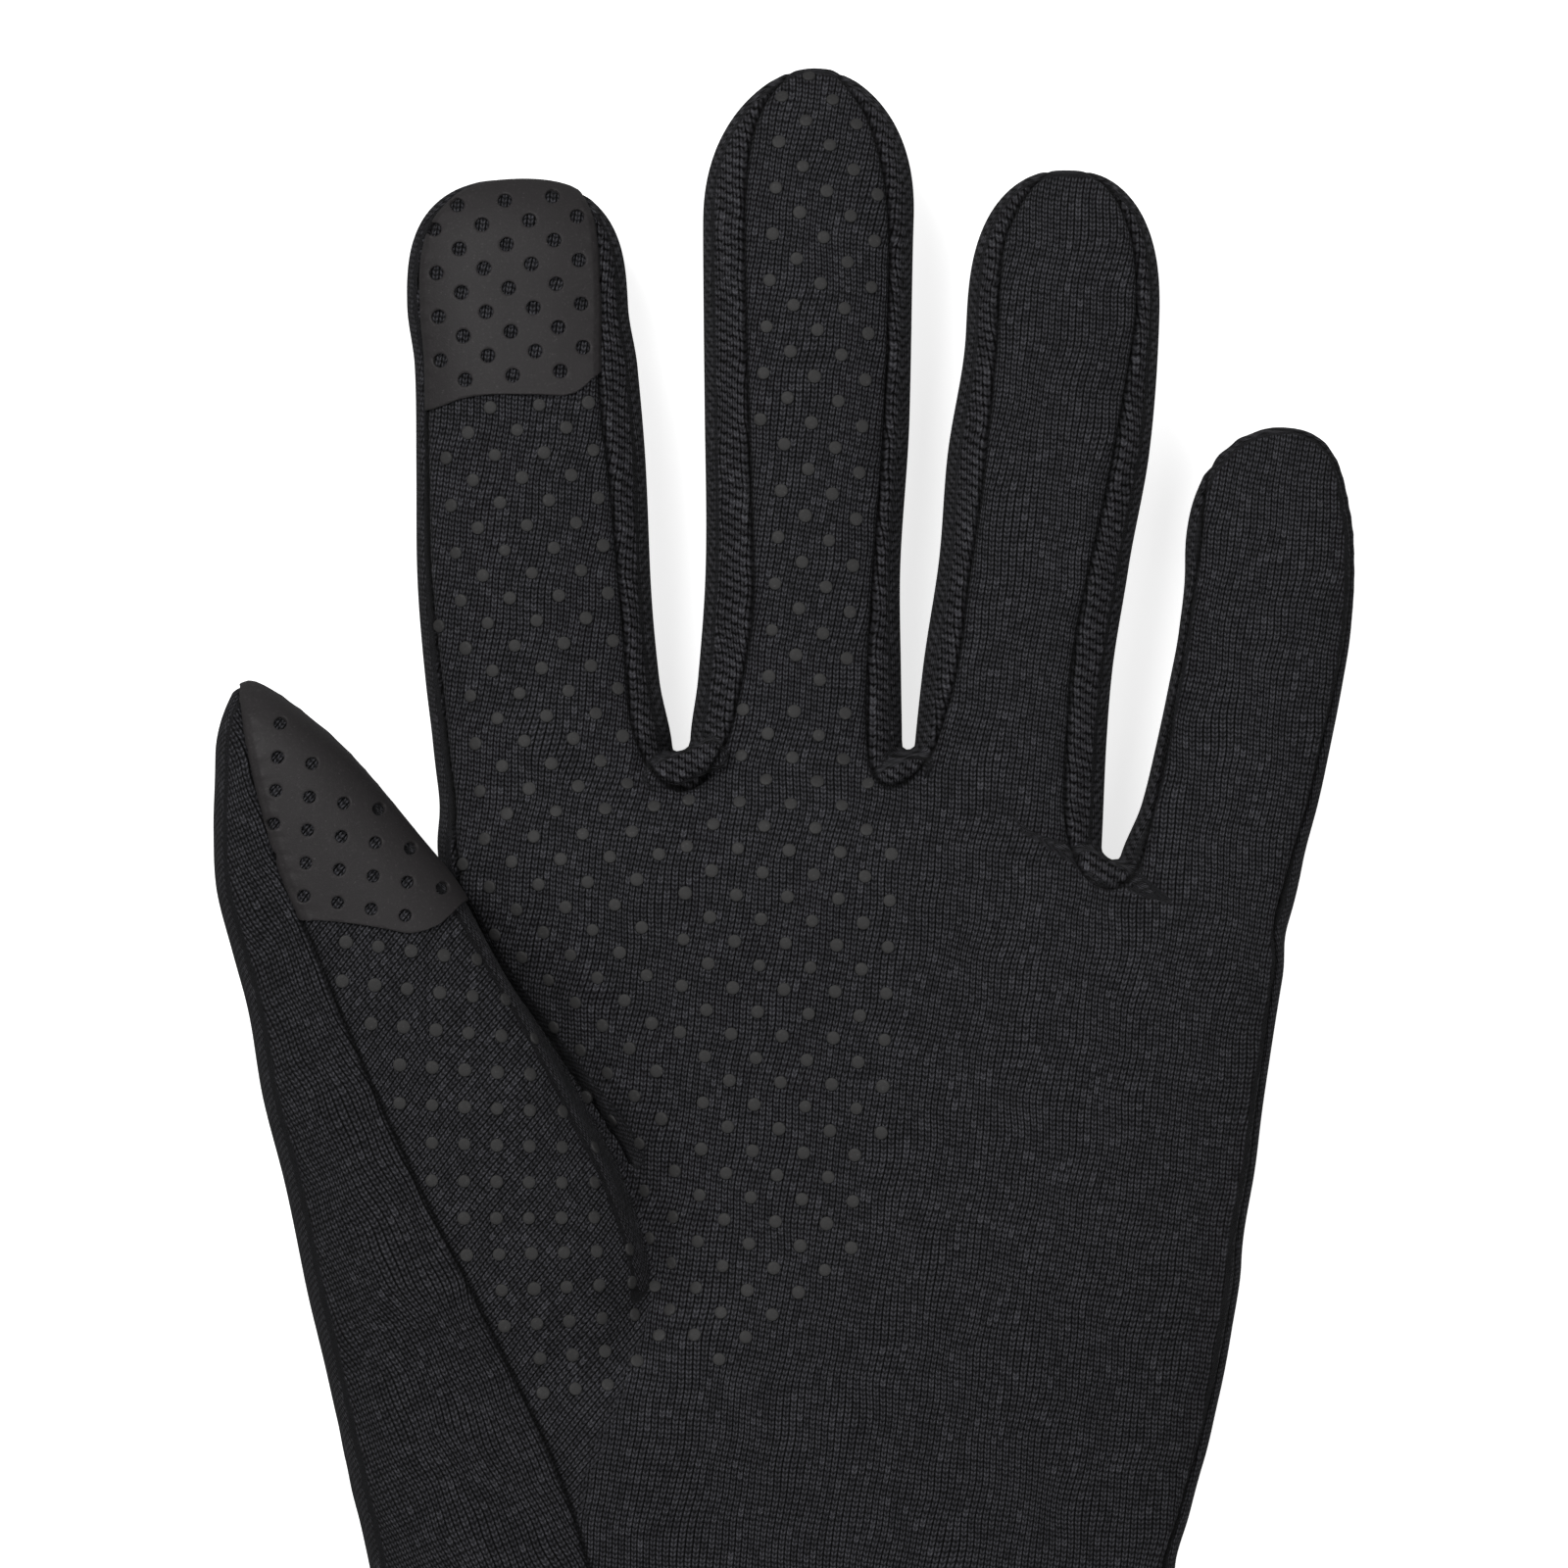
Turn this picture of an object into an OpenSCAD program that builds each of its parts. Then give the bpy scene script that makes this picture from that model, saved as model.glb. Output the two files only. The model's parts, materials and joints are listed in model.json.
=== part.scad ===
// Left-hand knit touchscreen glove, lying on its back with the palm up.
// X runs from the thumb to the little finger, Y from the cuff to the fingertips, Z from the back to the palm.
// Every fabric panel is a strip of a rounded tube, cut at the glove's seams and at the joints of the hand.

/* [Fabric] */
// Thickness of the brushed knit
wall = 1.6; // [1.2:0.1:2]
// How square the tubes are in section: 2 is an ellipse
roundness = 2.4; // [2.2:0.1:2.8]
// Angle of one facet round a tube, in degrees
facet = 13; // [11:1:18]

/* [Flexing] */
// Half of the slit at a joint, on the sides and the back
joint_gap = 0.3; // [0.2:0.05:0.5]
// Half of the slit at a joint on the palm side, where the fabric folds
fold_gap = 0.8; // [0.7:0.1:1.5]

/* [Cuff] */
// Height in Y of the cuff's open edge
cuff_y = -118; // [-122:1:-112]
// Depth of the folded hem
hem_length = 12; // [9:1:18]
// Thickness that the hem stands proud of the cuff
hem_proud = 0.8; // [0.5:0.1:1.2]

/* [Index finger] */
// Half widths at the knuckle, the middle joint and the tip
index_widths = [13.6, 13.6, 12.7]; // [12:0.1:14]
// Half depths at the same places
index_depths = [9.6, 9.4, 7.8]; // [7:0.1:10]
// Length of the rounded end
index_dome = 11; // [9:0.5:16]

/* [Middle finger] */
// Half widths at the knuckle, the middle joint and the tip
middle_widths = [11.9, 12.1, 12.4]; // [11:0.1:12.6]
// Half depths at the same places
middle_depths = [9.6, 9.4, 8]; // [7:0.1:10]
// Length of the rounded end
middle_dome = 18; // [12:0.5:22]

/* [Ring finger] */
// Half widths at the knuckle, the middle joint and the tip
ring_widths = [11, 11.9, 11.1]; // [10:0.1:12.2]
// Half depths at the same places
ring_depths = [9.5, 9.2, 7.8]; // [7:0.1:10]
// Length of the rounded end
ring_dome = 16; // [10:0.5:22]

/* [Little finger] */
// Half widths at the knuckle, the middle joint and the tip
little_widths = [10.2, 10.1, 9.6]; // [9:0.1:10.4]
// Half depths at the same places
little_depths = [8.8, 8.4, 7.2]; // [6:0.1:9.5]
// Length of the rounded end
little_dome = 12; // [8:0.5:16]

/* [Thumb] */
// Half widths at the knuckle, the middle joint and the tip
thumb_widths = [17.6, 13.2, 12.2]; // [12:0.1:18]
// Half depths at the same places
thumb_depths = [12.6, 11, 10]; // [9:0.1:13]
// Length of the rounded end
thumb_dome = 22; // [18:0.5:24]

/* [Grip] */
// Diameter of a silicone dot
dot_d = 1.5; // [1:0.1:2]
// Height that a dot stands above the fabric
dot_proud = 0.35; // [0.2:0.05:0.5]
// Spacing of the dots along a row
dot_pitch = 5.7; // [5:0.1:7]
// Thickness of the conductive fingertip pads
pad_thick = 0.5; // [0.3:0.1:0.8]

/* [Hidden] */
knit = [0.16, 0.16, 0.17];
knit_side = [0.12, 0.12, 0.13];
rubber = [0.3, 0.3, 0.3];
$fn = 16;
SMALLEST = 0.03;      // share of the width left at a fingertip's very end
SEAM = 0.3;           // angle left open at each side of a seam
LIFT = 0.1;           // a skin over the fabric stands this far off it
HEM_LIFT = 0.3;       // the hem's facets clear the cuff's by this much
HEM_STITCH = 2.6;     // the stitches run this far from the hem's upper edge
THREAD = 0.4;
ROOT_LIFT = 0.1;      // the finger roots stand this far off the hand's tube
DOT_SINK = 0.6;       // how far a dot's root goes into the knit
DOT_CLEAR = 3;        // the dots stop this far from a joint
DOME_STEPS = [0, 0.3, 0.5, 0.68, 0.82, 0.92, 0.98, 0.999];
BLUNT = [2.5, 0.4];   // a rounded end: half width = (1 - x^a)^b
ROUND = [2, 0.5];
POINTED = [1.5, 0.5];

// A digit is [knuckle, middle joint and tip, half widths, half depths, leans of the two joints, dome, shape].
INDEX = [
    [[-28.6, 46, index_depths[0]], [-30, 71, index_depths[1]], [-30.8, 104.8, index_depths[2]]],
    index_widths, index_depths, [0, -7], index_dome, BLUNT
];
MIDDLE = [
    [[1.4, 47, middle_depths[0]], [2.4, 77, middle_depths[1]], [2.4, 118, middle_depths[2]]],
    middle_widths, middle_depths, [0, 0], middle_dome, BLUNT
];
RING = [
    [[27.3, 47, ring_depths[0]], [31.4, 75, ring_depths[1]], [33, 106, ring_depths[2]]],
    ring_widths, ring_depths, [0, 0], ring_dome, ROUND
];
LITTLE = [
    [[52.4, 33.5, little_depths[0]], [56.2, 53, little_depths[1]], [58.4, 75.5, little_depths[2]]],
    little_widths, little_depths, [0, 0], little_dome, ROUND
];
THUMB = [
    [[-42.4, -5, 18.5], [-53, 20.5, 23.5], [-61.6, 46, 25]],
    thumb_widths, thumb_depths, [-14, -12], thumb_dome, POINTED
];
KNUCKLE_LEAN = 7.8;   // slant of the knuckle line

// Seam angles round the tubes: 0 is the little finger's side, 90 the palm, 180 the thumb's side and
// 270 the back.
SEAM_R = 55;          // palm to fourchette, on the little finger's side
SEAM_L = 125;         // palm to fourchette, on the thumb's side
BACK_L = 230;
BACK_R = 310;
EDGE_R = -8;          // palm to back on the little finger's outer edge
EDGE_L = 140;         // palm to back on the index finger's outer edge
THUMB_R = -40;        // palm to back on the thumb's inner edge
THUMB_L = 104;        // palm to back along the front of the thumb
WEB_L = 200;          // palm to back inside the thumb's web
WRIST_L = 112;        // palm to side panel at the cuff
WRIST_WEB = 124;      // palm to side panel where the thumb begins
SIDE_BACK = 218;      // side panel to back panel

function mix(a, b, t) = a + (b - a) * t;
function lean_of(a, b) = atan2(b[0] - a[0], b[1] - a[1]);
function power(v, e) = sign(v) * pow(abs(v), e);
function heading(lean) = [sin(lean), cos(lean), 0];
function across(lean) = [cos(lean), -sin(lean), 0];

// A ring is [centre, lean, half width, half depth, share of the end's length, share of the width].
function ring(centre, lean, w, d, end = 0, share = 1) = [centre, lean, w, d, end, share];
// The point of a ring at angle a, grown outward
function place(r, a, grow) =
    r[0] + heading(r[1]) * grow * r[4]
    + across(r[1]) * (r[2] + grow) * r[5] * power(cos(a), 2 / roundness)
    + [0, 0, (r[3] + grow) * r[5] * power(sin(a), 2 / roundness)];

// Rings of a digit between its knuckle and its middle joint
function base_rings(digit, gap) =
    let (
        p = digit[0],
        w = digit[1],
        d = digit[2],
        leans = digit[3],
        length = norm(p[1] - p[0])
    )
    [for (t = [0, 1/3, 2/3, 1])
        let (s = mix(gap / length, 1 - gap / length, t))
        ring(mix(p[0], p[1], s), mix(leans[0], leans[1], s), mix(w[0], w[1], s), mix(d[0], d[1], s))];

// Rings of a digit from its middle joint to its end
function tip_rings(digit, start) =
    let (
        p = digit[0],
        w = digit[1],
        d = digit[2],
        lean_0 = digit[3][1],
        lean_1 = lean_of(p[1], p[2]),
        along = p[2] - p[1],
        length = norm(along),
        straight = max(length - digit[4], start + 0.5)
    )
    concat(
        [for (s = [start, mix(start, straight, 0.5)])
            ring(p[1] + along * s / length, mix(lean_0, lean_1, s / straight),
                 mix(w[1], w[2], s / straight), mix(d[1], d[2], s / straight))],
        [for (x = DOME_STEPS)
            ring(p[1] + along * mix(straight, length, x) / length, lean_1, w[2], d[2], x,
                 max(SMALLEST, pow(1 - pow(x, digit[5][0]), digit[5][1])))]
    );

// Rings of the short tube between the hand and a finger's knuckle
function root_rings(root, root_w, digit, gap) =
    let (
        end = digit[0][0] - heading(digit[3][0]) * gap,
        start = root + heading(KNUCKLE_LEAN) * ROOT_LIFT,
        w = digit[1][0],
        d = digit[2][0]
    )
    [ring(start, KNUCKLE_LEAN, root_w, root[2]),
     ring(mix(start, end, 0.5), mix(KNUCKLE_LEAN, digit[3][0], 0.5),
          mix(root_w, w, 0.5), mix(root[2], d, 0.5)),
     ring(end, digit[3][0], w, d)];
function index_root(gap) = root_rings([-26.8, 34.2, 11.5], 13.7, INDEX, gap);
function middle_root(gap) = root_rings([0.9, 30.4, 11.6], 13, MIDDLE, gap);
function ring_root(gap) = root_rings([26, 27, 11.4], 11.6, RING, gap);
function little_root(gap) = root_rings([49.7, 23.7, 11], 11.3, LITTLE, gap);
THUMB_ROOT_W = 20.2;  // half width and half depth where the thumb leaves the hand
THUMB_ROOT_D = 15;
function thumb_root(gap) =
    let (
        start = [-36, -24 + ROOT_LIFT, 15.5],
        end = THUMB[0][0] - heading(THUMB[3][0]) * gap
    )
    [ring(start, 0, THUMB_ROOT_W, THUMB_ROOT_D),
     ring(mix(start, end, 0.5), THUMB[3][0] / 2,
          mix(THUMB_ROOT_W, thumb_widths[0], 0.5), mix(THUMB_ROOT_D, thumb_depths[0], 0.5)),
     ring(end, THUMB[3][0], thumb_widths[0], thumb_depths[0])];

// Rings of the hand: the wrist and heel, then the palm above the thumb's web
WRIST_RINGS = [
    ring([0, cuff_y, 12], 0, 45, 10.5),
    ring([-0.2, -97, 12], 0, 43.8, 11),
    ring([-0.4, -76, 12.2], 0, 44.2, 12.2),
    ring([-1.1, -58, 12.8], 0, 46.8, 12.8),
    ring([-1.2, -40, 14], 0, 51.6, 14),
    ring([-1.6, -24, 15], 0, 54.7, 15)
];
PALM_RINGS = [
    ring([19.4, -24 + ROOT_LIFT, 15], 0, 33.8, 15),
    ring([18, -10, 14.9], 1, 37, 14.9),
    ring([15, 5, 14.5], 3, 42.2, 14.5),
    ring([11.4, 20, 13.4], 5.5, 48.4, 13.4),
    ring([10, 29.2, 11.8], KNUCKLE_LEAN, 51.2, 11.8)
];

// A wall of fabric between two seam angles; each may be a pair, for the first and the last ring
module strip(rings, from, to, inner = -wall, outer = 0) {
    a = (is_list(from) ? from : [from, from]) + [SEAM, SEAM];
    b = (is_list(to) ? to : [to, to]) - [SEAM, SEAM];
    n = ceil(max(b[0] - a[0], b[1] - a[1]) / facet);
    m = len(rings);
    c = 2 * (n + 1);
    points = [
        for (k = [0:m - 1])
            let (
                p = mix(a[0], a[1], k / (m - 1)),
                q = mix(b[0], b[1], k / (m - 1))
            )
            each concat(
                [for (i = [0:n]) place(rings[k], mix(p, q, i / n), outer)],
                [for (i = [n:-1:0]) place(rings[k], mix(p, q, i / n), inner)]
            )
    ];
    sides = [
        for (k = [0:m - 2], i = [0:c - 1])
            let (p = k * c + i, q = k * c + (i + 1) % c)
            each [[p, q + c, q], [p, p + c, q + c]]
    ];
    first = [for (i = [0:n - 1]) each [[i, c - 2 - i, c - 1 - i], [i, i + 1, c - 2 - i]]];
    last = [for (f = first) [for (v = [f[2], f[1], f[0]]) v + (m - 1) * c]];
    polyhedron(points, concat(sides, first, last), convexity = 6);
}

// A closed band of fabric right round a tube
module band(rings, inner, outer) {
    n = round(360 / facet);
    m = len(rings);
    c = 2 * n;
    points = [
        for (r = rings)
            each concat(
                [for (i = [0:n - 1]) place(r, i * 360 / n, outer)],
                [for (i = [0:n - 1]) place(r, i * 360 / n, inner)]
            )
    ];
    skin = [
        for (k = [0:m - 2], i = [0:n - 1])
            let (p = k * c + i, q = k * c + (i + 1) % n)
            each [[p, q + c, q], [p, p + c, q + c]]
    ];
    lining = [for (f = skin) [for (v = [f[2], f[1], f[0]]) v + n]];
    first = [for (i = [0:n - 1]) let (j = (i + 1) % n) each [[i, j + n, i + n], [i, j, j + n]]];
    last = [for (f = first) [for (v = [f[2], f[1], f[0]]) v + (m - 1) * c]];
    polyhedron(points, concat(skin, lining, first, last), convexity = 6);
}

// The foot of the strip that lines the gap between two fingers
module fourchette(left_rings, right_rings) {
    strip(left_rings, BACK_R - 360, SEAM_R);
    strip(right_rings, SEAM_L, BACK_L);
}

// Hand
module palm_panel() {
    color(knit) {
        strip(WRIST_RINGS, EDGE_R, [WRIST_L, WRIST_WEB]);
        strip(PALM_RINGS, EDGE_R, [WEB_L, EDGE_L]);
        strip(thumb_root(fold_gap), THUMB_R, THUMB_L);
        strip(index_root(fold_gap), SEAM_R, EDGE_L);
        strip(middle_root(fold_gap), SEAM_R, SEAM_L);
        strip(ring_root(fold_gap), SEAM_R, SEAM_L);
        strip(little_root(fold_gap), EDGE_R, SEAM_L);
    }
}
module back_panel() {
    color(knit) {
        strip(WRIST_RINGS, SIDE_BACK, 360 + EDGE_R);
        strip(PALM_RINGS, [WEB_L, EDGE_L], 360 + EDGE_R);
        strip(thumb_root(joint_gap), SIDE_BACK, 360 + THUMB_R);
        strip(index_root(joint_gap), EDGE_L, BACK_R);
        strip(middle_root(joint_gap), BACK_L, BACK_R);
        strip(ring_root(joint_gap), BACK_L, BACK_R);
        strip(little_root(joint_gap), BACK_L, 360 + EDGE_R);
    }
}
module thumb_side_panel() {
    color(knit_side) {
        strip(WRIST_RINGS, [WRIST_L, WRIST_WEB], SIDE_BACK);
        strip(thumb_root(joint_gap), THUMB_L, SIDE_BACK);
    }
}
module fourchette_index_middle() {
    color(knit_side)
        fourchette(index_root(joint_gap), middle_root(joint_gap));
}
module fourchette_middle_ring() {
    color(knit_side)
        fourchette(middle_root(joint_gap), ring_root(joint_gap));
}
module fourchette_ring_little() {
    color(knit_side)
        fourchette(ring_root(joint_gap), little_root(joint_gap));
}

// Cuff
// The wrist's ring at a distance from the cuff's open edge
function wrist_ring(y) =
    let (
        a = WRIST_RINGS[0],
        b = WRIST_RINGS[1],
        t = y / (b[0][1] - a[0][1])
    )
    ring(mix(a[0], b[0], t), 0, mix(a[2], b[2], t), mix(a[3], b[3], t));
module cuff_hem() {
    color(knit) band([wrist_ring(0), wrist_ring(hem_length)], HEM_LIFT, hem_proud);
}
module hem_thread() {
    color(knit_side)
        band([wrist_ring(hem_length - HEM_STITCH), wrist_ring(hem_length - HEM_STITCH + THREAD)],
             hem_proud + LIFT, hem_proud + LIFT + THREAD);
}

// Index finger
module index_palm_base() {
    color(knit) strip(base_rings(INDEX, fold_gap), SEAM_R, EDGE_L);
}
module index_back_base() {
    color(knit) strip(base_rings(INDEX, joint_gap), EDGE_L, BACK_R);
}
module index_fourchette_base() {
    color(knit_side) strip(base_rings(INDEX, joint_gap), BACK_R - 360, SEAM_R);
}
module index_palm_tip() {
    color(knit) strip(tip_rings(INDEX, fold_gap), SEAM_R, EDGE_L);
}
module index_back_tip() {
    color(knit) strip(tip_rings(INDEX, joint_gap), EDGE_L, BACK_R);
}
module index_fourchette_tip() {
    color(knit_side) strip(tip_rings(INDEX, joint_gap), BACK_R - 360, SEAM_R);
}

// Middle finger
module middle_palm_base() {
    color(knit) strip(base_rings(MIDDLE, fold_gap), SEAM_R, SEAM_L);
}
module middle_back_base() {
    color(knit) strip(base_rings(MIDDLE, joint_gap), BACK_L, BACK_R);
}
module middle_left_fourchette_base() {
    color(knit_side) strip(base_rings(MIDDLE, joint_gap), SEAM_L, BACK_L);
}
module middle_right_fourchette_base() {
    color(knit_side) strip(base_rings(MIDDLE, joint_gap), BACK_R - 360, SEAM_R);
}
module middle_palm_tip() {
    color(knit) strip(tip_rings(MIDDLE, fold_gap), SEAM_R, SEAM_L);
}
module middle_back_tip() {
    color(knit) strip(tip_rings(MIDDLE, joint_gap), BACK_L, BACK_R);
}
module middle_left_fourchette_tip() {
    color(knit_side) strip(tip_rings(MIDDLE, joint_gap), SEAM_L, BACK_L);
}
module middle_right_fourchette_tip() {
    color(knit_side) strip(tip_rings(MIDDLE, joint_gap), BACK_R - 360, SEAM_R);
}

// Ring finger
module ring_palm_base() {
    color(knit) strip(base_rings(RING, fold_gap), SEAM_R, SEAM_L);
}
module ring_back_base() {
    color(knit) strip(base_rings(RING, joint_gap), BACK_L, BACK_R);
}
module ring_left_fourchette_base() {
    color(knit_side) strip(base_rings(RING, joint_gap), SEAM_L, BACK_L);
}
module ring_right_fourchette_base() {
    color(knit_side) strip(base_rings(RING, joint_gap), BACK_R - 360, SEAM_R);
}
module ring_palm_tip() {
    color(knit) strip(tip_rings(RING, fold_gap), SEAM_R, SEAM_L);
}
module ring_back_tip() {
    color(knit) strip(tip_rings(RING, joint_gap), BACK_L, BACK_R);
}
module ring_left_fourchette_tip() {
    color(knit_side) strip(tip_rings(RING, joint_gap), SEAM_L, BACK_L);
}
module ring_right_fourchette_tip() {
    color(knit_side) strip(tip_rings(RING, joint_gap), BACK_R - 360, SEAM_R);
}

// Little finger
module little_palm_base() {
    color(knit) strip(base_rings(LITTLE, fold_gap), EDGE_R, SEAM_L);
}
module little_back_base() {
    color(knit) strip(base_rings(LITTLE, joint_gap), BACK_L, 360 + EDGE_R);
}
module little_fourchette_base() {
    color(knit_side) strip(base_rings(LITTLE, joint_gap), SEAM_L, BACK_L);
}
module little_palm_tip() {
    color(knit) strip(tip_rings(LITTLE, fold_gap), EDGE_R, SEAM_L);
}
module little_back_tip() {
    color(knit) strip(tip_rings(LITTLE, joint_gap), BACK_L, 360 + EDGE_R);
}
module little_fourchette_tip() {
    color(knit_side) strip(tip_rings(LITTLE, joint_gap), SEAM_L, BACK_L);
}

// Thumb
module thumb_palm_base() {
    color(knit) strip(base_rings(THUMB, fold_gap), THUMB_R, THUMB_L);
}
module thumb_back_base() {
    color(knit_side) strip(base_rings(THUMB, joint_gap), THUMB_L, 360 + THUMB_R);
}
module thumb_palm_tip() {
    color(knit) strip(tip_rings(THUMB, fold_gap), THUMB_R, THUMB_L);
}
module thumb_back_tip() {
    color(knit_side) strip(tip_rings(THUMB, joint_gap), THUMB_L, 360 + THUMB_R);
}

// Conductive pads, skins over the palm side of two ends
PAD_END = 0.99;
INDEX_PAD = 9;        // where the index pad begins past the middle joint
THUMB_PAD = 2;        // where the thumb pad begins past the middle joint
module index_touch_pad() {
    color(rubber)
        strip([for (r = tip_rings(INDEX, INDEX_PAD)) if (r[4] < PAD_END) r],
              SEAM_R, EDGE_L, LIFT, LIFT + pad_thick);
}
module thumb_touch_pad() {
    color(rubber)
        strip([for (r = tip_rings(THUMB, THUMB_PAD)) if (r[4] < PAD_END) r],
              THUMB_R / 2, THUMB_L, LIFT, LIFT + pad_thick);
}

// Silicone dots, each standing on the fabric's front at [x, y, z]
module dots(places) {
    color(rubber)
        for (p = places)
            translate([p[0], p[1], p[2] - DOT_SINK])
                cylinder(d = dot_d, h = DOT_SINK + dot_proud);
}
// [place along, place across, height] of the front of a tube over [x, y], between two rings
function front(a, b, p) =
    let (
        along = [b[0][0] - a[0][0], b[0][1] - a[0][1], 0],
        rel = [p[0] - a[0][0], p[1] - a[0][1], 0],
        t = (rel * along) / (along * along),
        w = mix(a[2] * a[5], b[2] * b[5], t),
        u = (rel - along * t) * across(mix(a[1], b[1], t)) / w,
        rise = pow(max(0, 1 - pow(abs(u), roundness)), 1 / roundness)
    )
    [t, u, mix(a[0][2], b[0][2], t) + mix(a[3] * a[5], b[3] * b[5], t) * rise];
// Places of a staggered grid on a tube, kept where the front is u_min to u_max across
function grid(rings, centre, lean, u_min, u_max, rows = 12) = [
    for (j = [-rows:rows], i = [-rows:rows])
        let (
            shift = (abs(j) % 2) / 2,
            p = centre + across(lean) * (i + shift) * dot_pitch + heading(lean) * j * dot_pitch * 0.45
        )
        for (k = [0:len(rings) - 2])
            let (hit = front(rings[k], rings[k + 1], p))
            if (hit[0] >= 0 && hit[0] < 1 && hit[1] > u_min && hit[1] < u_max)
                [p[0], p[1], hit[2]]
];
GRID_LEAN = -3;
PALM_GRID = [-6, 2, 0];
THUMB_GRID = [-46, 4, 0];
THUMB_GRID_LEAN = -67;
// The dotted part of the palm narrows from the knuckles to the heel and stops where the thumb covers it
function dotted(p) =
    p[0] < mix(6, 13, min(1, max(0, (p[1] + 30) / 40)))
    && p[0] * 0.35 + p[1] > -27
    && p[0] + p[1] * 0.55 > -24.5;
module palm_dots() {
    dots([for (p = grid(PALM_RINGS, PALM_GRID, GRID_LEAN, -0.94, 0.2)) if (dotted(p)) p]);
    dots(grid(index_root(DOT_CLEAR), PALM_GRID, GRID_LEAN, -0.7, 0.5));
    dots(grid(middle_root(DOT_CLEAR), PALM_GRID, GRID_LEAN, -0.5, 0.5));
    dots(grid(thumb_root(DOT_CLEAR), THUMB_GRID, THUMB_GRID_LEAN, -0.1, 0.85));
}
module index_base_dots() {
    dots(grid(base_rings(INDEX, DOT_CLEAR), INDEX[0][0], GRID_LEAN, -0.7, 0.55));
}
module index_tip_dots() {
    rings = [for (r = tip_rings(INDEX, DOT_CLEAR)) if (r[0][1] < INDEX[0][1][1] + INDEX_PAD - 1) r];
    stop = tip_rings(INDEX, INDEX_PAD - 1)[0];
    dots(grid([rings[0], stop], INDEX[0][0], GRID_LEAN, -0.7, 0.55));
}
module middle_base_dots() {
    dots(grid(base_rings(MIDDLE, DOT_CLEAR), MIDDLE[0][0], GRID_LEAN, -0.55, 0.55));
}
module middle_tip_dots() {
    rings = [for (r = tip_rings(MIDDLE, DOT_CLEAR)) if (r[4] < 0.9) r];
    dots(grid(rings, MIDDLE[0][1], GRID_LEAN, -0.55, 0.55));
}
module thumb_base_dots() {
    dots(grid(base_rings(THUMB, DOT_CLEAR), THUMB_GRID, THUMB_GRID_LEAN, -0.4, 0.85));
}

palm_panel();
back_panel();
thumb_side_panel();
cuff_hem();
hem_thread();
palm_dots();
fourchette_index_middle();
fourchette_middle_ring();
fourchette_ring_little();
index_palm_base();
index_back_base();
index_fourchette_base();
index_palm_tip();
index_back_tip();
index_fourchette_tip();
middle_palm_base();
middle_back_base();
middle_left_fourchette_base();
middle_right_fourchette_base();
middle_palm_tip();
middle_back_tip();
middle_left_fourchette_tip();
middle_right_fourchette_tip();
ring_palm_base();
ring_back_base();
ring_left_fourchette_base();
ring_right_fourchette_base();
ring_palm_tip();
ring_back_tip();
ring_left_fourchette_tip();
ring_right_fourchette_tip();
little_palm_base();
little_back_base();
little_fourchette_base();
little_palm_tip();
little_back_tip();
little_fourchette_tip();
thumb_palm_base();
thumb_back_base();
thumb_palm_tip();
thumb_back_tip();
index_touch_pad();
thumb_touch_pad();
index_base_dots();
index_tip_dots();
middle_base_dots();
middle_tip_dots();
thumb_base_dots();
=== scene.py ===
import json
import math

import bpy
import numpy as np
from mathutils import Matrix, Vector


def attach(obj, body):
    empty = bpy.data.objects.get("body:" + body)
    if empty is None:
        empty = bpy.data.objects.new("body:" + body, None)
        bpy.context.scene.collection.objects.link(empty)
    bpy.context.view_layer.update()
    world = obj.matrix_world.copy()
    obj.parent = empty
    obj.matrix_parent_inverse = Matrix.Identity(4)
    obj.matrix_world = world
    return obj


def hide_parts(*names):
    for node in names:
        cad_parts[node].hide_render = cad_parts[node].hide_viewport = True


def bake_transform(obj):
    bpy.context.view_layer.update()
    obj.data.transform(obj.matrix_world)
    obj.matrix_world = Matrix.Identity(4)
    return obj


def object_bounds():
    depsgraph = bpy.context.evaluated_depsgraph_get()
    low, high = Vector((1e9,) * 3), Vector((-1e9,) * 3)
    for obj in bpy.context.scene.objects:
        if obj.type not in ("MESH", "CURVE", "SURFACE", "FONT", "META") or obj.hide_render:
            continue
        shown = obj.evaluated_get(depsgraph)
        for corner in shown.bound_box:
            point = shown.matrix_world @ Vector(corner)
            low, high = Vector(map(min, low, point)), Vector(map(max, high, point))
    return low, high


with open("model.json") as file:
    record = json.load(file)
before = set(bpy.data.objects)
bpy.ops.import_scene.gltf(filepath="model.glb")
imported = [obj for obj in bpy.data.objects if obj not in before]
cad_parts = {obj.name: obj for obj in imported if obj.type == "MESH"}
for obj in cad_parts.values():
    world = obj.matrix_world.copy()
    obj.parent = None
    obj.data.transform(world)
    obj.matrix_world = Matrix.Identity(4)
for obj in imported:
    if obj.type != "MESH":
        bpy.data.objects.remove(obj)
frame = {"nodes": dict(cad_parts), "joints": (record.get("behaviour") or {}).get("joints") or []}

import openvdb
from mathutils import Vector
from mathutils.bvhtree import BVHTree
from mathutils.kdtree import KDTree

MM = 0.001
CAD_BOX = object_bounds()
HINGES = {j["name"]: np.array(j["pos_m"], float) / MM for j in frame["joints"]}
rng = np.random.default_rng(7)

# ---------------------------------------------------------------- shapes
# Every tube of the glove is a stack of rounded sections along Y: centre x, half width, centre z, half depth.


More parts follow.
